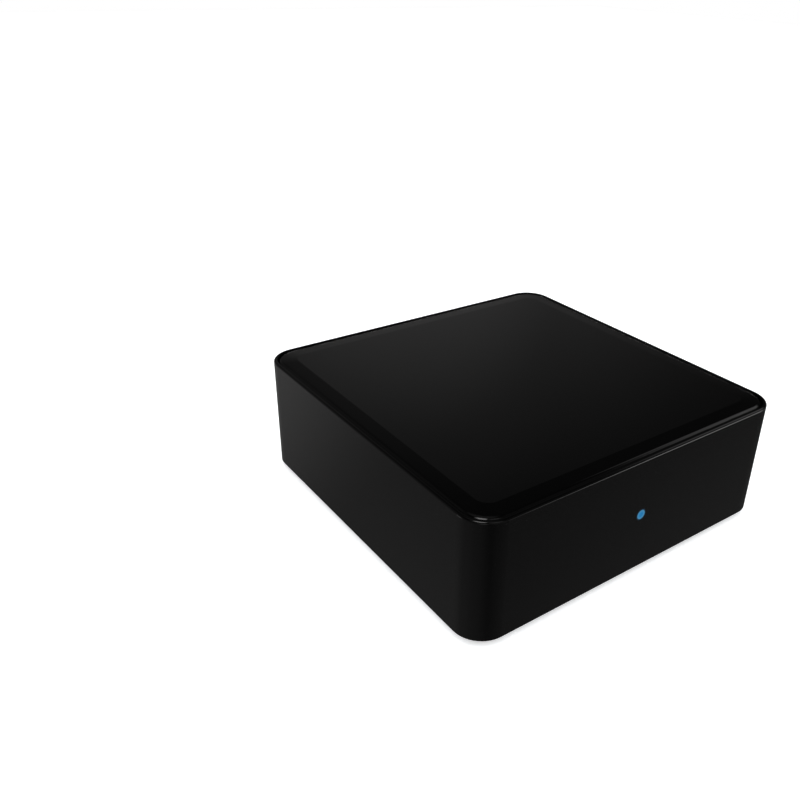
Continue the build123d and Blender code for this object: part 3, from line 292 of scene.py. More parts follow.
def half_polished(tree, shader, polished, marks, mark_roughness, cloud_size, flow_size, depth):
    """Gloss black where polished is 1, satin black with the moulding's marks where it is 0."""
    shader.inputs["IOR"].default_value = 1.2
    haze = spread(tree, grain(tree, cloud_size, 4.0), 0.035, 0.055)
    rough = spread(tree, polished, spread(tree, marks, *mark_roughness), haze, 0.0, 1.0)
    link(tree, rough, shader.inputs["Roughness"])
    link(tree, tones(tree, polished, satin_black, gloss_black), shader.inputs["Base Color"])
    marked = maths(tree, "MULTIPLY", marks, maths(tree, "SUBTRACT", 1.0, polished))
    flow = maths(tree, "MULTIPLY", grain(tree, flow_size, 1.0), 0.02)
    relief(tree, shader, maths(tree, "ADD", marked, flow), depth)


def coat(material, *names):
    """Gives carried-over CAD nodes this finish."""
    for name in names:
        for slot in nodes[name].material_slots:
            slot.material = material


housing_low, housing_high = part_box("housing")
housing_corner = 0.012
housing_straight = (housing_high.x - housing_low.x) / 2 - housing_corner
housing_inner = 0.01
polish_edge = 0.0002
eroded_height = 0.0003
gloss_black = (0.0008, 0.0008, 0.0008)
satin_black = (0.014, 0.014, 0.015)
housing_finish, tree, shader = finish("housing_gloss_black", gloss_black, 0.05)
outward = from_corner_centres(tree, (housing_low + housing_high) / 2, housing_straight)
outside = spread(tree, outward, 0.0, 1.0, housing_inner, housing_inner + polish_edge)
above_base = along(tree, "Z", housing_low.z + eroded_height, housing_low.z + 2 * eroded_height)
half_polished(
    tree, shader, maths(tree, "MULTIPLY", outside, above_base), grain(tree, 0.00045, 5.0), (0.42, 0.6),
    cloud_size=0.03, flow_size=0.02, depth=0.00005,
)
coat(housing_finish, "housing")


# Top cover: a separate moulding from the same black, polished where it shows, dropped into the
# housing's rim and held by four screws from below.
cover_ledge = 0.0499
polish_fade = 0.0004
cover_finish, tree, shader = finish("cover_gloss_black", gloss_black, 0.05)
half_polished(
    tree, shader, along(tree, "Z", cover_ledge - polish_fade, cover_ledge),
    grain(tree, 0.0006, 4.0), (0.4, 0.55), cloud_size=0.035, flow_size=0.022, depth=0.00004,
)
coat(cover_finish, "top_cover")


# Status lens: a turned clear acrylic light pipe pressed into the front wall, evenly lit blue by the
# diode behind it.
lens_low, lens_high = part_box("status_lens")
lens_middle = (lens_low + lens_high) / 2
lens_face_radius = 0.0024
lit_radius = 0.8 * lens_face_radius
ring_shares = (0.45, 0.9)
edge_shares = (0.94, 1.06)
lens_finish, tree, shader = finish("lit_blue_lens", (0.004, 0.02, 0.04), 0.25)
shader.inputs["IOR"].default_value = 1.3
shader.inputs["Emission Strength"].default_value = 1.0
from_middle = vectors(
    tree, "DISTANCE", vectors(tree, "MULTIPLY", position(tree), (1.0, 0.0, 1.0)),
    (lens_middle.x, 0.0, lens_middle.z),
)
ring = spread(tree, from_middle, 0.0, 1.0, *(share * lit_radius for share in ring_shares))
glow = tones(tree, ring, (0.004, 0.15, 0.36), (0.045, 0.21, 0.37))
unlit = spread(tree, from_middle, 0.0, 1.0, *(share * lit_radius for share in edge_shares))
link(tree, tones(tree, unlit, glow, (0.0, 0.0, 0.0)), shader.inputs["Emission Color"])
coat(lens_finish, "status_lens")


# Rubber feet: four moulded pads with a bevelled edge and a sunk middle that grips the table, glued
# into shallow seats in the floor.
def tree_for(name, sizes):
    """An empty Geometry Nodes tree that takes places, named sizes and a finish."""
    made = bpy.data.node_groups.new(name, "GeometryNodeTree")
    sockets = made.interface
    sockets.new_socket("Places", in_out="INPUT", socket_type="NodeSocketGeometry")
    for label, size in sizes.items():
        taken = sockets.new_socket(label, in_out="INPUT", socket_type="NodeSocketFloat")
        taken.default_value = size
    sockets.new_socket("Turn", in_out="INPUT", socket_type="NodeSocketVector")
    sockets.new_socket("Finish", in_out="INPUT", socket_type="NodeSocketMaterial")
    sockets.new_socket("Made", in_out="OUTPUT", socket_type="NodeSocketGeometry")
    return made, made.nodes.new("NodeGroupInput").outputs


def scaled(made, size, factor):
    """A named size times a number."""
    return maths(made, "MULTIPLY", size, factor)


def vector_of(made, **sizes):
    """Sizes along X, Y and Z as one vector."""
    return added(made, "ShaderNodeCombineXYZ", sizes).outputs[0]


def raised(made, shape, height):
    """A shape moved up by a height."""
    return added(made, "GeometryNodeTransform", {
        "Geometry": shape, "Translation": vector_of(made, Z=height),
    }).outputs["Geometry"]


def drum(made, radius, height, sides):
    """A round blank that stands on its base: its mesh and its top face."""
    blank = added(made, "GeometryNodeMeshCylinder", {
        "Vertices": sides, "Radius": radius, "Depth": height,
    }).outputs
    return raised(made, blank["Mesh"], scaled(made, height, 0.5)), blank["Top"]


def step(made, shape, face, height, share):
    """Pushes a face out by a height, or in, and shrinks it to a share of its width."""
    pushed = added(made, "GeometryNodeExtrudeMesh", {
        "Mesh": shape, "Selection": face, "Offset Scale": height,
    }, mode="FACES").outputs
    shrunk = added(made, "GeometryNodeScaleElements", {
        "Geometry": pushed["Mesh"], "Selection": pushed["Top"], "Scale": share,
    })
    return shrunk.outputs["Geometry"], pushed["Top"]


def stepped(made, radius, height, sides, drum_share, step_shares):
    """A drum whose top is pushed on in steps, each a share of the height and of the width before."""
    shape, face = drum(made, radius, scaled(made, height, drum_share), sides)
    for rise, share in step_shares:
        shape, face = step(made, shape, face, scaled(made, height, rise), share)
    return shape


def closed(made, taken, shape):
    """Ends a tree: one shape at every place, turned, made real and given its finish."""
    copies = added(made, "GeometryNodeInstanceOnPoints", {
        "Points": taken["Places"], "Instance": shape, "Rotation": taken["Turn"],
    })
    real = added(made, "GeometryNodeRealizeInstances", {"Geometry": copies.outputs["Instances"]})
    dressed = added(made, "GeometryNodeSetMaterial", {
        "Geometry": real.outputs["Geometry"], "Material": taken["Finish"],
    })
    added(made, "NodeGroupOutput", {"Made": dressed.outputs["Geometry"]})
    return made


crease_angle = math.radians(35.0)


def made_at(made, name, places, turn, material, stands_for=()):
    """Runs a tree on its places and keeps the result as one plain piece on the chassis."""
    marks = bpy.data.meshes.new(name)
    marks.from_pydata([tuple(place) for place in places], [], [])
    piece = bpy.data.objects.new(name, marks)
    bpy.context.scene.collection.objects.link(piece)
    maker = piece.modifiers.new("maker", "NODES")
    maker.node_group = made
    for taken in made.interface.items_tree:
        if taken.name == "Turn" and taken.in_out == "INPUT":
            maker[taken.identifier] = [math.radians(angle) for angle in turn]
        if taken.name == "Finish":
            maker[taken.identifier] = material
    settled = bpy.context.evaluated_depsgraph_get()
    solid = bpy.data.meshes.new_from_object(piece.evaluated_get(settled), depsgraph=settled)
    piece.modifiers.remove(maker)
    piece.data = solid
    solid.shade_smooth()
    solid.set_sharp_from_angle(angle=crease_angle)
    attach(piece, "chassis")
    if stands_for:
        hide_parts(*stands_for)


def four_corners(node, inset, height):
    """The middles of four like things at the corners of a node's box, at one height."""
    low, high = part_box(node)
    return [
        (x, y, height)
        for x in (low.x + inset, high.x - inset)
        for y in (low.y + inset, high.y - inset)
    ]


def mottled(tree, shader, marks, dark, light, roughness=None):
    """Goes with the marks from dark to light, and from one roughness to the other."""
    link(tree, tones(tree, spread(tree, marks, 0.0, 1.0), dark, light), shader.inputs["Base Color"])
    if roughness:
        link(tree, spread(tree, marks, *roughness), shader.inputs["Roughness"])


foot_low, foot_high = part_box("rubber_feet")
foot_radius = 0.0065
foot_sides = 56
foot_drum_share = 0.8
foot_step_shares = ((0.12, 0.955), (0.08, 0.94), (0.0, 0.78), (-0.16, 0.93), (0.0, 0.4), (0.08, 0.85))
foot_finish, tree, shader = finish("foot_rubber", (0.02, 0.02, 0.021), 0.8)
mottled(tree, shader, grain(tree, 0.0012, 5.0), (0.013, 0.013, 0.014), (0.034, 0.034, 0.035), (0.7, 0.92))
relief(tree, shader, grain(tree, 0.0003, 4.0), 0.00006)
feet, taken = tree_for("moulded_feet", {
    "Radius": foot_radius,
    "Height": foot_high.z - foot_low.z,
})
pad = stepped(feet, taken["Radius"], taken["Height"], foot_sides, foot_drum_share, foot_step_shares)
made_at(
    closed(feet, taken, pad), "moulded_feet", four_corners("rubber_feet", foot_radius, foot_high.z),
    (180.0, 0.0, 0.0), foot_finish, ["rubber_feet"],
)


# Screws: black steel pan heads with a cross recess and rolled threads. Four hold the cover from the
# corner wells, four the connector panel, two the phono blocks and four the main board.
head_sides = 28
head_drum_share = 0.45
dome_step_shares = ((0.2, 0.97), (0.16, 0.92), (0.11, 0.86), (0.06, 0.8))
recess_length_share = 1.15
recess_width_share = 0.24
recess_middle_share = 0.92
shank_sides = 20
thread_depth_share = 0.14
thread_pitch_share = 0.55


def screw_tree(head_radius, head_height, shank_radius, shank_length):
    """A pan-head screw that points up, its head's underside at the place."""
    made, taken = tree_for("pan_head_screw", {
        "Head radius": head_radius,
        "Head height": head_height,
        "Shank radius": shank_radius,
        "Shank length": shank_length,
        "Recess length": head_radius * recess_length_share,
        "Recess width": head_radius * recess_width_share,
        "Thread depth": shank_radius * thread_depth_share,
        "Thread pitch": shank_radius * thread_pitch_share,
    })
    height = taken["Head height"]
    recess_middle = scaled(made, height, recess_middle_share)
    head = stepped(made, taken["Head radius"], height, head_sides, head_drum_share, dome_step_shares)
    cut = added(made, "GeometryNodeMeshBoolean", {"Mesh 1": head}, operation="DIFFERENCE")
    for wide, deep in (("Recess length", "Recess width"), ("Recess width", "Recess length")):
        bar = added(made, "GeometryNodeMeshCube", {
            "Size": vector_of(made, X=taken[wide], Y=taken[deep], Z=height),
        })
        link(made, raised(made, bar.outputs["Mesh"], recess_middle), cut.inputs["Mesh 2"])
    shank, _ = drum(made, taken["Shank radius"], taken["Shank length"], shank_sides)
    helix = added(made, "GeometryNodeCurveSpiral", {
        "Resolution": 16,
        "Rotations": maths(made, "DIVIDE", taken["Shank length"], taken["Thread pitch"]),
        "Start Radius": taken["Shank radius"],
        "End Radius": taken["Shank radius"],
        "Height": taken["Shank length"],
    })
    ridge = added(made, "GeometryNodeCurvePrimitiveCircle", {
        "Resolution": 4, "Radius": taken["Thread depth"],
    })
    thread = added(made, "GeometryNodeCurveToMesh", {
        "Curve": helix.outputs["Curve"], "Profile Curve": ridge.outputs["Curve"], "Fill Caps": True,
    })
    down = scaled(made, taken["Shank length"], -1.0)
    whole = made.nodes.new("GeometryNodeJoinGeometry")
    for shape in (cut.outputs["Mesh"], raised(made, shank, down), raised(made, thread.outputs["Mesh"], down)):
        link(made, shape, whole.inputs[0])
    return closed(made, taken, whole.outputs[0])


steel_finish, tree, shader = finish("black_screw_steel", (0.05, 0.05, 0.053), 0.36, 0.9)
mottled(tree, shader, grain(tree, 0.0009, 5.0), (0.025, 0.025, 0.027), (0.085, 0.085, 0.09), (0.28, 0.5))
relief(tree, shader, grain(tree, 0.0004, 3.0), 0.00001)
small_head = 0.0024
small_head_height = 0.0014
small_shank = 0.00125
cover_head = 0.0028
cover_head_height = 0.002
cover_shank = 0.0015
screw_low, screw_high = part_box("cover_screws")
made_at(
    screw_tree(cover_head, cover_head_height, cover_shank,
               screw_high.z - screw_low.z - cover_head_height),
    "cover_pan_screws",
    four_corners("cover_screws", cover_head, screw_low.z + cover_head_height),
    (180.0, 0.0, 20.0), steel_finish, ["cover_screws"],
)
screw_low, screw_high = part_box("main_board_screws")
made_at(
    screw_tree(small_head, small_head_height, small_shank,
               screw_high.z - screw_low.z - small_head_height),
    "board_pan_screws",
    four_corners("main_board_screws", small_head, screw_high.z - small_head_height),
    (0.0, 0.0, 35.0), steel_finish, ["main_board_screws"],
)
screw_low, screw_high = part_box("rear_panel_screws")
panel_face = screw_high.y - small_head_height
panel_screw = screw_tree(small_head, small_head_height, small_shank, panel_face - screw_low.y)
made_at(
    panel_screw, "panel_pan_screws",
    [(x, panel_face, z)
     for x in (screw_low.x + small_head, screw_high.x - small_head)
     for z in (screw_low.z + small_head, screw_high.z - small_head)],
    (-90.0, 25.0, 0.0), steel_finish, ["rear_panel_screws"],
)
screw_low, screw_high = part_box("jack_screws")
made_at(
    panel_screw, "jack_pan_screws",
    [(x, panel_face, (screw_low.z + screw_high.z) / 2)
     for x in (screw_low.x + small_head, screw_high.x - small_head)],
    (-90.0, 50.0, 0.0), steel_finish, ["jack_screws"],
)


# Rear connector panel: a flat plate of black steel with a fine textured powder coat, punched for the
# sockets. The places for words beside them are left bare.
panel_finish, tree, shader = finish("panel_powder_coat", (0.012, 0.012, 0.013), 0.5)
powder = grain(tree, 0.00055, 5.0)
mottled(tree, shader, powder, (0.008, 0.008, 0.009), (0.022, 0.022, 0.023), (0.4, 0.62))
relief(tree, shader, powder, 0.00009)
coat(panel_finish, "rear_panel")


# Phono jacks: machined brass sleeves plated with bright nickel, white or red nylon inside for left and
# right, and gold-plated spring contacts in the middle, held in two moulded blocks behind the panel.
def blended(tree, first, second, first_share):
    """Two grains in one, by their shares."""
    return maths(tree, "ADD", maths(tree, "MULTIPLY", first, first_share),
                 maths(tree, "MULTIPLY", second, 1.0 - first_share))


round_y = (400.0, 1.0, 400.0)
along_y = (1.0, 60.0, 1.0)


def plated(name, dark, light, low, high, turned=False):
    """A bright plated metal with dull clouds and faint lines, which run round Y where it was turned."""
    made, tree, shader = finish(name, light, low, 0.7)
    lines = grain(tree, 0.0004, 1.0, round_y) if turned else grain(tree, 0.00018, 3.0, along_y)
    mottled(tree, shader, blended(tree, lines, grain(tree, 0.002, 4.0), 0.5), dark, light, (high, low))
    relief(tree, shader, lines, 0.000001 if turned else 0.000006)
    return made


def moulded(name, dark, light, low, high, size=0.0004, depth=0.00001):
    """A moulded plastic with a fine eroded skin, slightly uneven in tone and gloss."""
    made, tree, shader = finish(name, light, low)
    skin = grain(tree, size, 4.0)
    mottled(tree, shader, blended(tree, skin, grain(tree, size * 25.0, 2.0), 0.6), dark, light, (high, low))
    relief(tree, shader, skin, depth)
    return made


nickel = plated("bright_nickel", (0.74, 0.73, 0.7), (0.88, 0.87, 0.84), 0.12, 0.2, True)
gold = plated("gold_plate", (0.66, 0.43, 0.14), (0.95, 0.68, 0.28), 0.16, 0.3, True)
white_nylon = moulded("white_nylon", (0.7, 0.69, 0.66), (0.82, 0.81, 0.78), 0.3, 0.45)
red_nylon = moulded("red_nylon", (0.46, 0.012, 0.012), (0.62, 0.022, 0.02), 0.3, 0.45)
block_black = moulded("jack_block_black", (0.01, 0.01, 0.011), (0.024, 0.024, 0.025), 0.4, 0.6,
                      depth=0.00003)
coat(nickel, "jack_sleeves")
coat(gold, "jack_contacts")
coat(white_nylon, "white_insulators")
coat(red_nylon, "red_insulators")
coat(block_black, "line_out_block", "line_in_block")


# Optical sockets: black moulded shells with a bevelled mouth, each closed by a grey sprung flap on a
# pin, and a clouded resin element with its lens behind.
optical_black = moulded("optical_shell_black", (0.009, 0.009, 0.01), (0.02, 0.02, 0.021), 0.32, 0.5,
                        0.0005, 0.00002)
flap_grey = moulded("optical_flap_grey", (0.075, 0.077, 0.08), (0.13, 0.133, 0.138), 0.34, 0.5, 0.00035)
element_resin = moulded("optical_element_resin", (0.014, 0.012, 0.016), (0.03, 0.026, 0.034), 0.12,
                        0.25, 0.0006, 0.000004)
coat(optical_black, "optical_in_socket", "optical_out_socket")
coat(flap_grey, "optical_in_shutter", "optical_out_shutter")
coat(element_resin, "optical_in_element", "optical_out_element")


# Ethernet jack: a shield folded from tinned sheet round a black insert, with eight gold-plated spring
# wires and two light windows, unlit.
tin_sheet = plated("tinned_sheet", (0.42, 0.42, 0.41), (0.62, 0.62, 0.61), 0.24, 0.42)
insert_black = moulded("ethernet_insert_black", (0.01, 0.01, 0.011), (0.02, 0.02, 0.021), 0.35, 0.5,
                       depth=0.00002)
window_green = moulded("light_window_green", (0.1, 0.2, 0.1), (0.17, 0.31, 0.16), 0.12, 0.25,
                       0.0008, 0.000004)
coat(tin_sheet, "ethernet_shield")
coat(insert_black, "ethernet_insert")
coat(gold, "ethernet_contacts")
coat(window_green, "ethernet_lights")


# USB socket: a sleeve folded from nickel-plated sheet with two spring slots, round a white moulded
# tongue that carries four gold-plated contacts.
sheet_nickel = plated("sheet_nickel", (0.52, 0.51, 0.48), (0.74, 0.73, 0.7), 0.2, 0.34)
tongue_white = moulded("usb_tongue_white", (0.62, 0.61, 0.58), (0.76, 0.75, 0.72), 0.35, 0.5)
coat(sheet_nickel, "usb_sleeve")
coat(tongue_white, "usb_tongue")
coat(gold, "usb_contacts")


# Power inlet: a black moulded block whose round collar fills its hole in the panel, with a plated pin
# in the middle and a flat spring contact beside the bore.
inlet_black = moulded("power_inlet_black", (0.01, 0.01, 0.011), (0.022, 0.022, 0.023), 0.3, 0.48,
                      0.00045, 0.00002)
coat(inlet_black, "power_block")
coat(nickel, "power_pin")
coat(sheet_nickel, "power_spring")


# Setup button: a small black cap on a stem, with a satin crown, behind it the white plunger and the
# black body of the side-push switch.
button_black = moulded("button_satin_black", (0.016, 0.016, 0.017), (0.032, 0.032, 0.033), 0.28, 0.42,
                       0.0003)
plunger_white = moulded("plunger_white", (0.6, 0.6, 0.58), (0.72, 0.72, 0.7), 0.35, 0.5)
switch_black = moulded("switch_body_black", (0.012, 0.012, 0.013), (0.028, 0.028, 0.029), 0.38, 0.55,
                       depth=0.00002)
coat(button_black, "setup_button")
coat(plunger_white, "switch_plunger")
coat(switch_black, "switch_body")


# Circuit boards: glass laminate under green solder mask, with copper tracks that show through it,
# tinned holes and a pale core at the cut edges. The wall antennas are boards too, with a black mask.
quarter_turn = math.radians(90.0)
turn_to_face = {"X": (0.0, quarter_turn, 0.0), "Y": (quarter_turn, 0.0, 0.0), "Z": (0.0, 0.0, 0.0)}


def board_finish(name, mask, copper, pitch, through):
    """Solder mask over a maze of tracks, with small tinned holes; through is the axis of the board."""
    made, tree, shader = finish(name, mask, 0.3)
    on_face = added(tree, "ShaderNodeMapping", {
        "Vector": position(tree), "Rotation": turn_to_face[through],
    }).outputs["Vector"]
    tracks = added(tree, "ShaderNodeTexBrick", {
        "Vector": on_face,
        "Scale": 1.0 / pitch,
        "Mortar Size": 0.09,
        "Mortar Smooth": 0.3,
        "Brick Width": 3.1,
        "Row Height": 0.42,
    }, offset=0.37, offset_frequency=3, squash=1.6, squash_frequency=4)
    holes = added(tree, "ShaderNodeTexVoronoi", {
        "Vector": on_face, "Scale": 0.45 / pitch, "Randomness": 0.9,
    })
    hole = spread(tree, holes.outputs["Distance"], 1.0, 0.0, 0.11, 0.13)
    over_copper = spread(tree, tracks.outputs["Fac"], 0.0, 1.0, 0.2, 0.8)
    cloud = spread(tree, grain(tree, 0.004, 3.0), 0.0, 1.0)
    clouded = tones(tree, cloud, tuple(part * 0.7 for part in mask), mask)
    tracked = tones(tree, over_copper, clouded, copper)
    holed = tones(tree, hole, tracked, (0.5, 0.48, 0.42))
    normal = tree.nodes.new("ShaderNodeNewGeometry").outputs["Normal"]
    flatness = maths(tree, "ABSOLUTE", coordinates(tree, normal)[through])
    face = spread(tree, flatness, 0.0, 1.0, 0.5, 0.6)
    link(tree, tones(tree, face, (0.3, 0.27, 0.14), holed), shader.inputs["Base Color"])
    link(tree, spread(tree, face, 0.8, 0.3, 0.0, 1.0), shader.inputs["Roughness"])
    link(tree, maths(tree, "MULTIPLY", hole, face), shader.inputs["Metallic"])
    relief(tree, shader, maths(tree, "SUBTRACT", over_copper, hole), 0.00003)
    return made


mask_green = (0.012, 0.09, 0.035)
track_green = (0.03, 0.16, 0.055)
pale_copper = (0.45, 0.27, 0.1)
coat(board_finish("main_board_green", mask_green, track_green, 0.0024, "Z"), "main_board")
coat(board_finish("front_board_green", mask_green, track_green, 0.0021, "Y"), "front_board")
module_green = board_finish("module_green", (0.008, 0.06, 0.03), (0.02, 0.12, 0.05), 0.0012, "Z")
antenna_black = board_finish("antenna_board", (0.01, 0.012, 0.014), pale_copper, 0.0045, "X")
coat(module_green, "wireless_module")
coat(antenna_black, "antennas")


# Small parts of the main board: rows of resistors and capacitors with tinned ends, placed by machine
# and soldered flat.
def brick_tree(name, length, width, height):
    """A small block that stands on its place."""
    made, taken = tree_for(name, {"Length": length, "Width": width, "Height": height})
    block = added(made, "GeometryNodeMeshCube", {
        "Size": vector_of(made, X=taken["Length"], Y=taken["Width"], Z=taken["Height"]),
    })
    return closed(
        made, taken, raised(made, block.outputs["Mesh"], scaled(made, taken["Height"], 0.5))
    )


board_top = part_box("main_board")[1].z
part_rows = [
    (-0.046, -0.024, 9, 0.0031), (-0.046, -0.0205, 9, 0.0031),
    (0.022, -0.022, 9, 0.0032), (0.022, -0.0185, 9, 0.0032),
    (0.023, -0.004, 4, 0.0034), (0.023, 0.0015, 4, 0.0034),
    (-0.0495, 0.0105, 6, 0.0028), (-0.0225, 0.038, 4, 0.0026),
    (0.002, 0.0475, 5, 0.0027), (0.0045, 0.032, 5, 0.0028),
]
part_places = [
    (left + number * pitch, across, board_top)
    for left, across, count, pitch in part_rows
    for number in range(count)
]
part_length = 0.0016
part_width = 0.0008
part_height = 0.0005
end_length = 0.0003
end_share = 1.06
brown_body = moulded("small_part_brown", (0.09, 0.05, 0.025), (0.16, 0.1, 0.055), 0.4, 0.6, 0.0003,
                     0.000004)
solder_tin = plated("solder_tin", (0.45, 0.45, 0.44), (0.66, 0.66, 0.65), 0.2, 0.38)
made_at(
    brick_tree("small_part_body", part_length - 2 * end_length, part_width, part_height),
    "small_part_bodies", part_places, (0.0, 0.0, 90.0), brown_body,
)
made_at(
    brick_tree("small_part_end", part_width * end_share, end_length, part_height * end_share),
    "small_part_ends",
    [(x, y + side * (part_length - end_length) / 2, z)
     for x, y, z in part_places for side in (-1, 1)],
    (0.0, 0.0, 0.0), solder_tin,
)


# Chips: black epoxy packages with a moulded dot for the first pin, and bent tinned legs all round the
# audio converter and on two sides of each line amplifier.
dot_radius = 0.0004
dot_inset = 2.2 * dot_radius
amplifier_width = 0.004
epoxy_grain = 0.00025
converter_low, converter_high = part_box("audio_converter")
amplifier_low, amplifier_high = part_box("line_amplifiers")
epoxy = moulded("chip_epoxy", (0.016, 0.016, 0.017), (0.036, 0.036, 0.038), 0.45, 0.65, epoxy_grain)
tree = epoxy.node_tree
shader = tree.nodes["Principled BSDF"]
from_dot = 1.0
for left, front, top in (
    (converter_low.x, converter_low.y, converter_high.z),
    (amplifier_low.x, amplifier_low.y, amplifier_high.z),
    (amplifier_high.x - amplifier_width, amplifier_low.y, amplifier_high.z),
):
    dot = (left + dot_inset, front + dot_inset, top)
    from_dot = maths(tree, "MINIMUM", vectors(tree, "DISTANCE", position(tree), dot), from_dot)
undished = spread(tree, from_dot, 0.0, 1.0, 0.8 * dot_radius, dot_radius)
link(tree, maths(tree, "MULTIPLY", spread(tree, grain(tree, epoxy_grain, 4.0), 0.45, 0.65),
                 spread(tree, undished, 0.5, 1.0, 0.0, 1.0)), shader.inputs["Roughness"])
pits = maths(tree, "MULTIPLY", grain(tree, epoxy_grain, 4.0), 0.2)
relief(tree, shader, maths(tree, "ADD", undished, pits), 0.00006)
coat(epoxy, "audio_converter", "line_amplifiers", "voltage_regulator")


def in_a_row(count, pitch):
    """Like steps along a row, counted from its middle."""
    return [(number - (count - 1) / 2) * pitch for number in range(count)]


def leg_tree(name, reach, width, rise):
    """One bent leg that leaves its package towards +X and stands on the board."""
    made, taken = tree_for(name, {"Reach": reach, "Width": width, "Rise": rise})
    bends = added(made, "GeometryNodeMeshLine", {"Count": 4}, mode="OFFSET")
    path = added(made, "GeometryNodeMeshToCurve", {"Mesh": bends.outputs["Mesh"]})
    share = scaled(made, made.nodes.new("GeometryNodeInputIndex").outputs[0], 1.0 / 3.0)
    offsets = []
    for size, bend_shares in (
        ("Reach", ((0.0, 0.0), (0.333, 0.3), (0.667, 0.45), (1.0, 1.0))),
        ("Rise", ((0.0, 1.0), (0.333, 1.0), (0.667, 0.12), (1.0, 0.12))),
    ):
        curve = added(made, "ShaderNodeFloatCurve", {"Value": share})
        line = curve.mapping.curves[0]
        line.points[0].location = bend_shares[0]
        line.points[1].location = bend_shares[-1]
        for bend in bend_shares[1:-1]:
            line.points.new(*bend)
        for point in line.points:
            point.handle_type = "VECTOR"
        curve.mapping.update()
        offsets.append(maths(made, "MULTIPLY", curve.outputs[0], taken[size]))
    moved = added(made, "GeometryNodeSetPosition", {
        "Geometry": path.outputs["Curve"], "Position": vector_of(made, X=offsets[0], Z=offsets[1]),
    })
    section = added(made, "GeometryNodeCurvePrimitiveQuadrilateral", {
        "Width": scaled(made, taken["Rise"], 0.2), "Height": taken["Width"],
    })
    leg = added(made, "GeometryNodeCurveToMesh", {
        "Curve": moved.outputs["Geometry"], "Profile Curve": section.outputs["Curve"],
        "Fill Caps": True,
    })
    return closed(made, taken, leg.outputs["Mesh"])


leg_reach = 0.0009
leg_width = 0.00026
leg_rise = 0.0006
chip_legs = leg_tree("chip_leg", leg_reach, leg_width, leg_rise)
converter_pitch = 0.0005
converter_middle = (converter_low + converter_high) / 2
converter_half = (converter_high.x - converter_low.x) / 2
converter_steps = in_a_row(12, converter_pitch)
for side, turn, way in (("right", 0.0, (1, 0)), ("rear", 90.0, (0, 1)),
                        ("left", 180.0, (-1, 0)), ("front", 270.0, (0, -1))):
    made_at(
        chip_legs, f"converter_legs_{side}",
        [(converter_middle.x + way[0] * converter_half - way[1] * offset,
          converter_middle.y + way[1] * converter_half + way[0] * offset, board_top)
         for offset in converter_steps],
        (0.0, 0.0, turn), solder_tin,
    )
amplifier_pitch = 0.00127
amplifier_steps = in_a_row(4, amplifier_pitch)
amplifier_middles = (amplifier_low.x + amplifier_width / 2, amplifier_high.x - amplifier_width / 2)
for side, turn, way in (("right", 0.0, 1), ("left", 180.0, -1)):
    made_at(
        chip_legs, f"amplifier_legs_{side}",
        [(middle + way * amplifier_width / 2, (amplifier_low.y + amplifier_high.y) / 2 + offset, board_top)
         for middle in amplifier_middles for offset in amplifier_steps],
        (0.0, 0.0, turn), solder_tin,
    )


# Shield can of the wireless module: a shallow lid pressed from tinned sheet, soldered down all round. Its
# rows of small vent holes are not cut: they are painted as dark spots, painted shade where the holes are.
vent_pitch = 0.0025
vent_edge_shares = (0.17, 0.22)
can_tin, tree, shader = finish("pressed_can_tin", (0.6, 0.6, 0.59), 0.3, 0.6)
rolled = grain(tree, 0.0002, 3.0, (60.0, 1.0, 1.0))
clouded = grain(tree, 0.003, 4.0)
vents = added(tree, "ShaderNodeTexVoronoi", {
    "Vector": position(tree), "Scale": 1.0 / vent_pitch, "Randomness": 0.0,
}, voronoi_dimensions="2D")
between_shaded_vents = spread(tree, vents.outputs["Distance"], 0.0, 1.0, *vent_edge_shares)
bare_tin = tones(tree, spread(tree, clouded, 0.0, 1.0), (0.54, 0.54, 0.53), (0.62, 0.62, 0.61))
# The vents are painted near-black: painted shade standing in for the holes, on the tin between them.
link(tree, tones(tree, between_shaded_vents, (0.07, 0.07, 0.07), bare_tin), shader.inputs["Base Color"])
link(tree, spread(tree, maths(tree, "MULTIPLY", rolled, clouded), 0.24, 0.36, 0.1, 0.4),
     shader.inputs["Roughness"])
relief(tree, shader, between_shaded_vents, 0.00006)
coat(can_tin, "module_shield")


# Antenna leads: thin grey coaxial leads from the two wall antennas to the wireless module, where
# gold-plated snap plugs hold them.
lead_grey, tree, shader = finish("lead_grey", (0.16, 0.16, 0.165), 0.45)
sheath = grain(tree, 0.0007, 4.0)
mottled(tree, shader, sheath, (0.12, 0.12, 0.125), (0.2, 0.2, 0.205))
relief(tree, shader, sheath, 0.00001)
coat(lead_grey, "antenna_leads")
coat(gold, "lead_plugs")


# Electrolytic capacitors: aluminium cans in a shrunk dark sleeve with a pale stripe on one side, their
# bare tops scored with a cross that lets go under pressure. The cross is sunk and painted dark, painted
# shade in its grooves.
can_low, can_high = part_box("electrolytic_capacitors")
can_pitch = 0.009
can_radius = 0.00315
can_top = can_high.z - 0.0005
sleeve_edge = 0.00005
score_width = 0.00008
stripe_edge_shares = (0.82, 0.84)
sleeve_finish, tree, shader = finish("capacitor_sleeve", (0.01, 0.012, 0.03), 0.35)
place = coordinates(tree)
sideways = added(tree, "ShaderNodeMath", {
    0: place["X"], 1: can_pitch / 2, 2: -can_pitch / 2,
}, operation="WRAP").outputs[0]
forwards = maths(tree, "SUBTRACT", place["Y"], (can_low.y + can_high.y) / 2)
top = along(tree, "Z", can_top - sleeve_edge, can_top)
stripe = spread(tree, sideways, 0.0, 1.0, *(share * can_radius for share in stripe_edge_shares))
from_cross = maths(tree, "MINIMUM", maths(tree, "ABSOLUTE", sideways), maths(tree, "ABSOLUTE", forwards))
scored_and_shaded = maths(tree, "MULTIPLY", spread(tree, from_cross, 1.0, 0.0, score_width, 2 * score_width), top)
sleeve_tones = tones(tree, spread(tree, grain(tree, 0.001, 4.0), 0.0, 1.0), (0.008, 0.009, 0.022),
                     (0.014, 0.016, 0.036))
striped = tones(tree, stripe, sleeve_tones, (0.42, 0.43, 0.46))
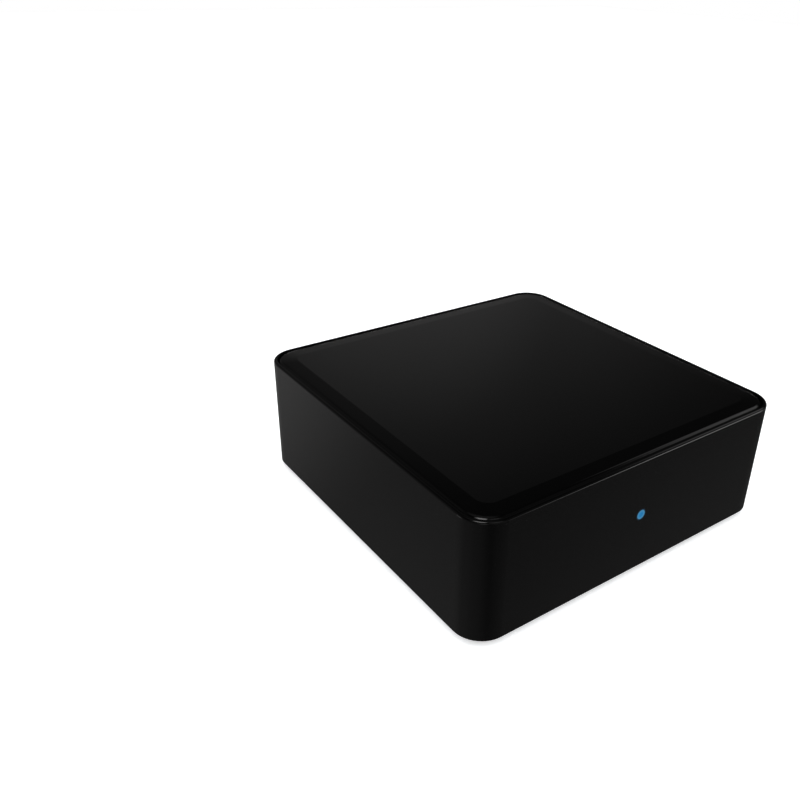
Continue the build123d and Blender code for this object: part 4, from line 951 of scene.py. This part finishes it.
topped = tones(tree, top, striped, (0.62, 0.62, 0.63))
# The score lines are painted dark grey: painted shade in the grooves of the cross.
link(tree, tones(tree, scored_and_shaded, topped, (0.2, 0.2, 0.2)), shader.inputs["Base Color"])
link(tree, top, shader.inputs["Metallic"])
relief(tree, shader, maths(tree, "SUBTRACT", 1.0, scored_and_shaded), 0.0001)
coat(sleeve_finish, "electrolytic_capacitors")


# Film capacitors: boxes cast in red plastic. Crystal: a drawn steel can. Inductor: a grey ferrite block
# with a lid. All are soldered to the main board.
film_red = moulded("film_capacitor_red", (0.28, 0.02, 0.015), (0.42, 0.04, 0.028), 0.3, 0.45, 0.0005)
crystal_steel = plated("crystal_can_steel", (0.4, 0.4, 0.4), (0.62, 0.62, 0.62), 0.22, 0.36)
ferrite, tree, shader = finish("ferrite_grey", (0.06, 0.06, 0.062), 0.7)
pressed = grain(tree, 0.0005, 5.0)
mottled(tree, shader, pressed, (0.04, 0.04, 0.042), (0.09, 0.09, 0.094))
relief(tree, shader, pressed, 0.00005)
coat(film_red, "film_capacitors")
coat(crystal_steel, "clock_crystal")
coat(ferrite, "power_inductor")


# Front board parts: the diode behind the lens, cast in clear resin and lit, and the infrared receiver
# in dark resin that only infrared light passes.
led_resin, tree, shader = finish("status_diode_resin", (0.55, 0.6, 0.66), 0.2)
cast = grain(tree, 0.0008, 3.0)
mottled(tree, shader, cast, (0.45, 0.52, 0.6), (0.62, 0.68, 0.74))
link(tree, tones(tree, spread(tree, cast, 0.0, 1.0), (0.02, 0.2, 0.5), (0.04, 0.34, 0.8)),
     shader.inputs["Emission Color"])
shader.inputs["Emission Strength"].default_value = 0.6
infrared_black = moulded("infrared_resin", (0.012, 0.006, 0.008), (0.026, 0.012, 0.016), 0.1, 0.2,
                         0.0008, 0.000004)
coat(led_resin, "status_led")
coat(infrared_black, "infrared_receiver")


# Flat cable: white polyester over a row of tinned conductors, stiffened blue at both ends, pushed into
# two nylon sockets.
cable_low, cable_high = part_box("front_board_cable")
conductor_pitch = 0.0005
conductor_edge_shares = (0.2, 0.3)
stiffener_length = 0.006
stiffener_edge = 0.0001
ribbon, tree, shader = finish("flat_cable_white", (0.75, 0.75, 0.74), 0.4)
across = maths(tree, "SUBTRACT", coordinates(tree)["X"], cable_low.x)
counted = maths(tree, "MULTIPLY", across, 1.0 / conductor_pitch)
wire = spread(tree, maths(tree, "PINGPONG", counted, 0.5), 0.0, 1.0, *conductor_edge_shares)
front_edge = cable_low.y + stiffener_length
rear_edge = cable_high.y - stiffener_length
front_end = maths(tree, "SUBTRACT", 1.0, along(tree, "Y", front_edge, front_edge + stiffener_edge))
rear_end = along(tree, "Y", rear_edge - stiffener_edge, rear_edge)
stiffened = maths(tree, "ADD", front_end, rear_end)
lined = tones(tree, wire, (0.78, 0.78, 0.76), (0.5, 0.5, 0.5))
link(tree, tones(tree, stiffened, lined, (0.03, 0.14, 0.5)), shader.inputs["Base Color"])
relief(tree, shader, wire, 0.00005)
socket_nylon = moulded("socket_nylon", (0.62, 0.6, 0.54), (0.76, 0.74, 0.68), 0.4, 0.55, 0.0005)
coat(ribbon, "front_board_cable")
coat(socket_nylon, "cable_sockets")
